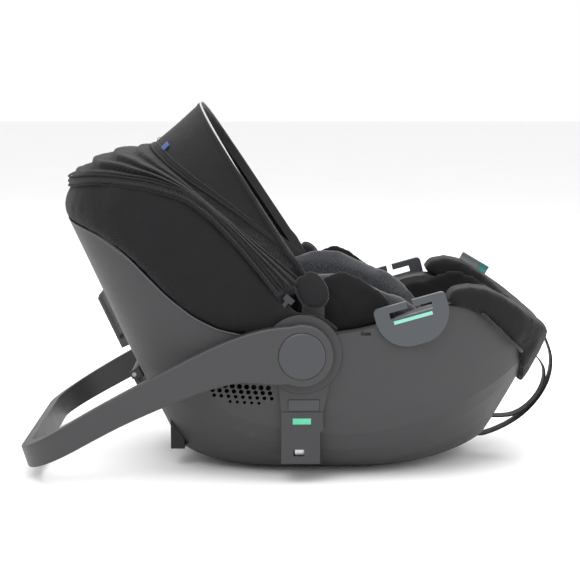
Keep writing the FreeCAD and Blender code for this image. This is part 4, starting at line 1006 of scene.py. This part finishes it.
@dataclass
class HeadEnd:
    """The padded head cover with its zip, and the light edge of the shell below it."""

    zip_half: float = 0.0052

    def build(self) -> None:
        """Builds the cover, its zip and its seams."""
        SoftPad("head_cover_padded", ("head_cover",), Slot.COVER, "cover_fabric", voxel=0.0055, puff=0.0045,
                fill=0.7, wrinkle=0.0014, wrinkle_scale=16, swell=0.001, seed=3).build()
        line = zip_curve(-0.0055, 0.0052)
        band = tube("head_zip_tape", line, self.zip_half, "webbing", 8, 0.22, Vector((0, 0, 1)))
        self._face_out(band, line)
        settle(band, Body.SEAT, Slot.COVER)
        for name, drop in (("upper", 0.001), ("lower", -0.0115)):
            edge = zip_curve(drop, 0.0062)
            settle(tube(f"head_zip_{name}", edge, 0.0014, "cover_fabric"), Body.SEAT, Slot.COVER)
        teeth = zip_curve(-0.0055, 0.0068)
        settle(self._teeth(teeth), Body.SEAT, Slot.ZIP)
        self._rim_bead()

    def _face_out(self, band: bpy.types.Object, line: list[Vector]) -> None:
        """Turns the tape's flat side outwards from the middle of the head end."""
        sides = 8
        for ring, point in enumerate(line):
            ahead = (line[min(ring + 1, len(line) - 1)] - line[max(ring - 1, 0)]).normalized()
            out = Vector((point.x + 0.12, point.y, 0)).normalized()
            up = ahead.cross(out).normalized()
            for step in range(sides):
                turn = math.tau * step / sides
                spot = point + up * (math.cos(turn) * self.zip_half) + out * (math.sin(turn) * 0.0011)
                band.data.vertices[ring * sides + step].co = spot

    def _teeth(self, line: list[Vector]) -> bpy.types.Object:
        """The zip's coil, as small blocks along the tape.

        Args:
            line: the coil's line.

        Returns:
            The coil.
        """
        vertices, faces = [], []
        spots = resample(line, 0.0032)
        for number in range(1, len(spots) - 1):
            ahead = (spots[number + 1] - spots[number - 1]).normalized()
            out = Vector((spots[number].x + 0.12, spots[number].y, 0)).normalized()
            up = ahead.cross(out).normalized()
            start = len(vertices)
            for a, b, c in ((-1, -1, -1), (1, -1, -1), (1, 1, -1), (-1, 1, -1),
                            (-0.7, -0.8, 1), (0.7, -0.8, 1), (0.7, 0.8, 1), (-0.7, 0.8, 1)):
                vertices.append(spots[number] + ahead * a * 0.0009 + up * b * 0.0016 + out * c * 0.0006)
            for face in ((3, 2, 1, 0), (4, 5, 6, 7), (0, 1, 5, 4), (1, 2, 6, 5), (2, 3, 7, 6), (3, 0, 4, 7)):
                faces.append([start + n for n in face])
        return new_object("head_zip_teeth", vertices, faces, "zip_metal")

    def _rim_bead(self) -> None:
        """The thin moulded bead along the shell's edge below the cover."""
        tree = tree_of(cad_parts["outer_shell"])
        for side, name in ((-1, "left"), (1, "right")):
            line = []
            for x in np.linspace(-0.292, -0.064, 70):
                z = between(tuple(sorted(RIM_LINE)), x * 1000) * MM
                hit = tree.ray_cast(Vector((x, side * CAST_FROM, z - 0.003)), Vector((0, -side, 0)))[0]
                if hit:
                    line.append(Vector((x, hit.y + side * 0.0004, z - 0.0012)))
            line = soften_line(resample(line, 0.004), 5)
            settle(tube(f"shell_edge_bead_{name}", line, 0.0013, "guide_plastic"), Body.SEAT, Slot.SHELL)


@dataclass
class FootEnd:
    """The padded roll over the foot end, its bound hem, its pleats and the sewn tab."""

    def build(self) -> None:
        """Builds the roll and what is sewn to it."""
        pleats = tuple(((((0.207 + 0.004 * n) * 1.0, side * 0.196, 0.236 + 0.004 * n),
                         (0.214 + 0.011 * n, side * 0.178, 0.250 + 0.006 * n)), 0.0045, 0.0022)
                       for side in (-1, 1) for n in range(3))
        creases = (
            (((0.235, -0.199, 0.250), (0.262, -0.196, 0.236), (0.300, -0.186, 0.208)), 0.008, 0.0015),
            (((0.318, -0.165, 0.205), (0.338, -0.130, 0.188), (0.352, -0.08, 0.172)), 0.007, 0.0016),
            (((0.335, 0.0, 0.205), (0.352, 0.0, 0.180), (0.358, 0.0, 0.155)), 0.006, 0.0014),
        )
        SoftPad("front_roll", ("front_cover",), Slot.COVER, "cover_fabric", voxel=0.005, puff=0.004,
                fill=0.75, wrinkle=0.0018, wrinkle_scale=20, swell=0.0004, grooves=pleats + creases,
                seed=5).build()
        self._binding()
        self._tab()

    def _binding(self) -> None:
        """The bound edge that runs along the roll's lower hem."""
        tree = tree_of(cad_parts["front_cover"])
        for side, name in ((-1, "left"), (1, "right")):
            line = []
            for share in np.linspace(0, 1, 40):
                x, z = 0.252 + share * (0.310 - 0.252), 0.223 + share * (0.166 - 0.223)
                hit = tree.ray_cast(Vector((x, side * CAST_FROM, z + 0.003)), Vector((0, -side, 0)))[0]
                if hit and abs(hit.y) > 0.12:
                    line.append(Vector((x, hit.y + side * 0.0004, z + 0.002)))
            if len(line) > 4:
                line = soften_line(resample(line, 0.004), 4)
                settle(tube(f"roll_binding_{name}", line, 0.0018, "seam_thread"), Body.SEAT, Slot.COVER)

    def _tab(self) -> None:
        """The folded label tab, grey with a teal end, standing on the roll."""
        low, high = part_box("label_tab")
        middle = (low + high) / 2
        lean = math.radians(30.5)
        along = Vector((math.cos(lean), 0, -math.sin(lean)))
        up = Vector((math.sin(lean), 0, math.cos(lean)))
        length = 0.046
        for name, start, end, look in (("label_tab_cloth", -0.5, 0.22, "tab_fabric"),
                                       ("label_tab_end", 0.22, 0.5, "teal_fabric")):
            grid = []
            for row in range(7):
                rise = row / 6
                line = []
                for column in range(11):
                    share = start + (end - start) * column / 10
                    bow = 0.0016 * math.sin(math.pi * rise) + 0.001 * math.sin(share * 7)
                    line.append(middle + along * (share * length) + up * ((rise - 0.5) * 0.0125)
                                + Vector((0, bow, 0)))
                grid.append(line)
            piece = slab(name, grid, 0.0015, look)
            if start < 0:
                settle(piece, Body.SEAT, Slot.TAB, "label_tab")
            else:
                settle(piece, Body.SEAT, Slot.TAB)


@dataclass
class SeatPad:
    """The trough lining, side wings, newborn insert and headrest."""

    def build(self) -> None:
        """Builds each pad."""
        SoftPad("seat_lining", ("seat_cover",), Slot.COVER, "cover_fabric", voxel=0.0055, fill=0.5,
                wrinkle=0.0012, wrinkle_scale=18, seed=7).build()
        for side in ("left", "right"):
            sign = -1 if side == "left" else 1
            line = ((0.034, sign * 0.166, 0.262), (0.062, sign * 0.168, 0.240), (0.078, sign * 0.168, 0.205))
            seam = (line, 0.005, 0.0026)
            SoftPad(f"wing_{side}", (f"side_wing_{side}",), Slot.COVER, "cover_fabric", voxel=0.0035,
                    fill=0.7, wrinkle=0.0011, wrinkle_scale=24, grooves=(seam,), seed=11).build()
        middle = tuple((-0.12 + 0.02 * n, 0.0, 0.26) for n in range(3))
        SoftPad("newborn_insert", ("infant_insert",), Slot.MELANGE, "melange_fabric", voxel=0.0045,
                puff=0.006, fill=0.65, wrinkle=0.0012, wrinkle_scale=22,
                grooves=((middle, 0.004, 0.002),), seed=13).build()
        SoftPad("headrest", ("headrest_pad",), Slot.MELANGE, "melange_fabric", voxel=0.0045, puff=0.005,
                fill=0.7, wrinkle=0.0010, wrinkle_scale=22, seed=17).build()


@dataclass
class Harness:
    """The shoulder straps, their pads and the crotch pad."""

    strap_half: float = 0.018
    thick: float = 0.0017

    def build(self) -> None:
        """Builds the straps and pads."""
        for side in ("left", "right"):
            self._strap(side)
            SoftPad(f"chest_pad_{side}", (f"shoulder_pad_{side}",), Slot.PAD, "pad_fabric", voxel=0.003,
                    fill=0.6, wrinkle=0.0006, wrinkle_scale=40, seed=19).build()
        SoftPad("crotch_cover", ("crotch_pad",), Slot.PAD, "pad_fabric", voxel=0.003, fill=0.6,
                wrinkle=0.0006, wrinkle_scale=40, seed=23).build()

    def _strap(self, side: str) -> None:
        """One shoulder strap, laid along the solid that holds its place.

        Args:
            side: "left" or "right".
        """
        sign = -1 if side == "left" else 1
        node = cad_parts[f"shoulder_strap_{side}"]
        tree = tree_of(node)
        down = Vector((-0.62, 0, -0.78))
        start, end = -0.1165, 0.0455
        rows = []
        for share in np.linspace(0, 1, 54):
            x = start + share * (end - start)
            y = sign * (0.046 + share * (0.022 - 0.046))
            hit = tree.ray_cast(Vector((x, y, 0)) - down * 0.6 + Vector((0, 0, 0.22)), down)[0]
            if hit:
                rows.append(hit)
        line = soften_line(resample(rows, 0.004), 3)
        grid = []
        for number, spot in enumerate(line):
            ahead = (line[min(number + 1, len(line) - 1)] - line[max(number - 1, 0)]).normalized()
            across = Vector((0, 1, 0))
            normal = ahead.cross(across).normalized()
            row = []
            for step in range(13):
                share = step / 12 * 2 - 1
                rib = 0.00025 * math.cos(share * math.pi * 5)
                row.append(spot + normal * rib + across * share * self.strap_half)
            grid.append(row)
        strap = slab(f"harness_strap_{side}", grid, self.thick, "webbing")
        settle(strap, Body.SEAT, Slot.WEBBING, f"shoulder_strap_{side}")


# X and Z of each strand's corner points, in mm
OUTER_ROUTE = (
    (361.2, 168), (371, 147), (373, 124), (368, 101), (356, 79),
    (338, 58), (315, 41), (290, 29), (266, 22), (250.5, 29.7),
)
INNER_ROUTE = (
    (346.2, 142), (360, 129), (364, 110), (359, 90),
    (347, 72), (331, 58), (311, 50), (285.6, 51),
)


@dataclass
class Webbing:
    """The adjuster webbing that hangs in a loop at the foot end."""

    width: float = 0.025
    thick: float = 0.0016

    def build(self) -> None:
        self._strand("leg_webbing_outer", OUTER_ROUTE, "adjuster_webbing_outer")
        self._strand("leg_webbing_inner", INNER_ROUTE, "adjuster_webbing_inner")

    def _strand(self, name: str, route: tuple[tuple[float, float], ...],
                node: str) -> None:
        """One flat strand along its route.

        Args:
            name: the piece's name.
            route: X and Z of the corner points, in mm.
            node: the CAD node that it stands for.
        """
        curve = bpy.data.curves.new(name + "_line", "CURVE")
        curve.dimensions = "3D"
        spline = curve.splines.new("NURBS")
        spline.points.add(len(route) - 1)
        for point, (x, z) in zip(spline.points, route):
            point.co = (x * MM, 0.0, z * MM, 1.0)
        spline.order_u = 3
        spline.use_endpoint_u = True
        spline.resolution_u = 12
        holder = bpy.data.objects.new(name + "_line", curve)
        bpy.context.scene.collection.objects.link(holder)
        bpy.context.view_layer.update()
        graph = bpy.context.evaluated_depsgraph_get()
        made = bpy.data.meshes.new_from_object(holder.evaluated_get(graph))
        line = resample([v.co.copy() for v in made.vertices], 0.0035)
        bpy.data.objects.remove(holder)
        bpy.data.meshes.remove(made)
        grid = []
        for number, spot in enumerate(line):
            ahead = (line[min(number + 1, len(line) - 1)] - line[max(number - 1, 0)]).normalized()
            normal = Vector((-ahead.z, 0, ahead.x))
            row = []
            for step in range(11):
                share = step / 10 * 2 - 1
                row.append(spot + normal * 0.00018 * math.cos(share * math.pi * 4)
                           + Vector((0, share * self.width / 2, 0)))
            grid.append(row)
        strand = slab(name, grid, self.thick, "webbing")
        settle(strand, Body.SEAT, Slot.WEBBING, node)


def dress_hard_parts() -> None:
    """Gives every CAD part that stays its moulded, metal or foam finish, by its slot's name."""
    for name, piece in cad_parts.items():
        look = piece.data.materials[0].name.split(".")[0]
        piece.data.materials.clear()
        piece.data.materials.append(finish(look))
        LOG.info("%s: finish %s", name, look)


@dataclass
class Studio:
    """The pale floor, the soft lights and the camera."""

    camera_place: Point = (-0.0182, -2.429, 0.5518)
    camera_target: Point = (0.0, 0.0, 0.232)
    lens: float = 107.1

    def build(self) -> None:
        """Builds the floor, the world, the lights and the camera."""
        self._floor()
        self._light("key", (-0.9, -2.0, 2.3), 1.8, 40)
        self._light("fill", (1.9, -1.6, 1.3), 1.9, 20)
        self._light("top", (0.0, 0.1, 2.6), 2.4, 52)
        self._light("rim", (0.9, 2.1, 1.9), 1.6, 34)
        camera = bpy.data.cameras.new("camera")
        camera.lens = self.lens
        camera.sensor_width = 36.0
        holder = bpy.data.objects.new("camera", camera)
        holder.location = self.camera_place
        look = Vector(self.camera_target) - Vector(self.camera_place)
        holder.rotation_euler = look.to_track_quat("-Z", "Y").to_euler()
        bpy.context.scene.collection.objects.link(holder)
        bpy.context.scene.camera = holder
        bpy.context.scene.view_settings.view_transform = "Standard"

    def _floor(self) -> None:
        """A plain pale flat floor."""
        nodes = Nodes("floor")
        base = nodes.mix(nodes.noise(3, 4), (0.90, 0.90, 0.90), (0.93, 0.93, 0.93))
        nodes.link(base, nodes.shader.inputs["Base Color"])
        nodes.shader.inputs["Roughness"].default_value = 0.85
        mesh = bpy.data.meshes.new("floor")
        size = 14.0
        mesh.from_pydata([(-size, -size, 0), (size, -size, 0), (size, size, 0), (-size, size, 0)], [],
                         [[0, 1, 2, 3]])
        mesh.materials.append(nodes.material)
        floor = bpy.data.objects.new("floor", mesh)
        bpy.context.scene.collection.objects.link(floor)
        world = bpy.data.worlds.new("studio")
        world.use_nodes = True
        background = world.node_tree.nodes["Background"]
        background.inputs["Color"].default_value = (1.0, 1.0, 1.0, 1.0)
        background.inputs["Strength"].default_value = 1.0
        bpy.context.scene.world = world

    def _light(self, name: str, place: Point, size: float, power: float) -> None:
        """One square area light aimed at the seat.

        Args:
            name: the light's name.
            place: where it hangs, in metres.
            size: its side, in metres.
            power: its power in watts.
        """
        light = bpy.data.lights.new(name, "AREA")
        light.size = size
        light.energy = power
        holder = bpy.data.objects.new(name, light)
        holder.location = place
        look = Vector((0, 0, 0.2)) - Vector(place)
        holder.rotation_euler = look.to_track_quat("-Z", "Y").to_euler()
        bpy.context.scene.collection.objects.link(holder)


def main() -> None:
    """Builds the whole seat in order."""
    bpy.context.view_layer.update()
    dress_hard_parts()
    HeadEnd().build()
    FootEnd().build()
    SeatPad().build()
    Harness().build()
    Canopy().build()
    Webbing().build()
    Studio().build()


if __name__ == "__main__":
    main()
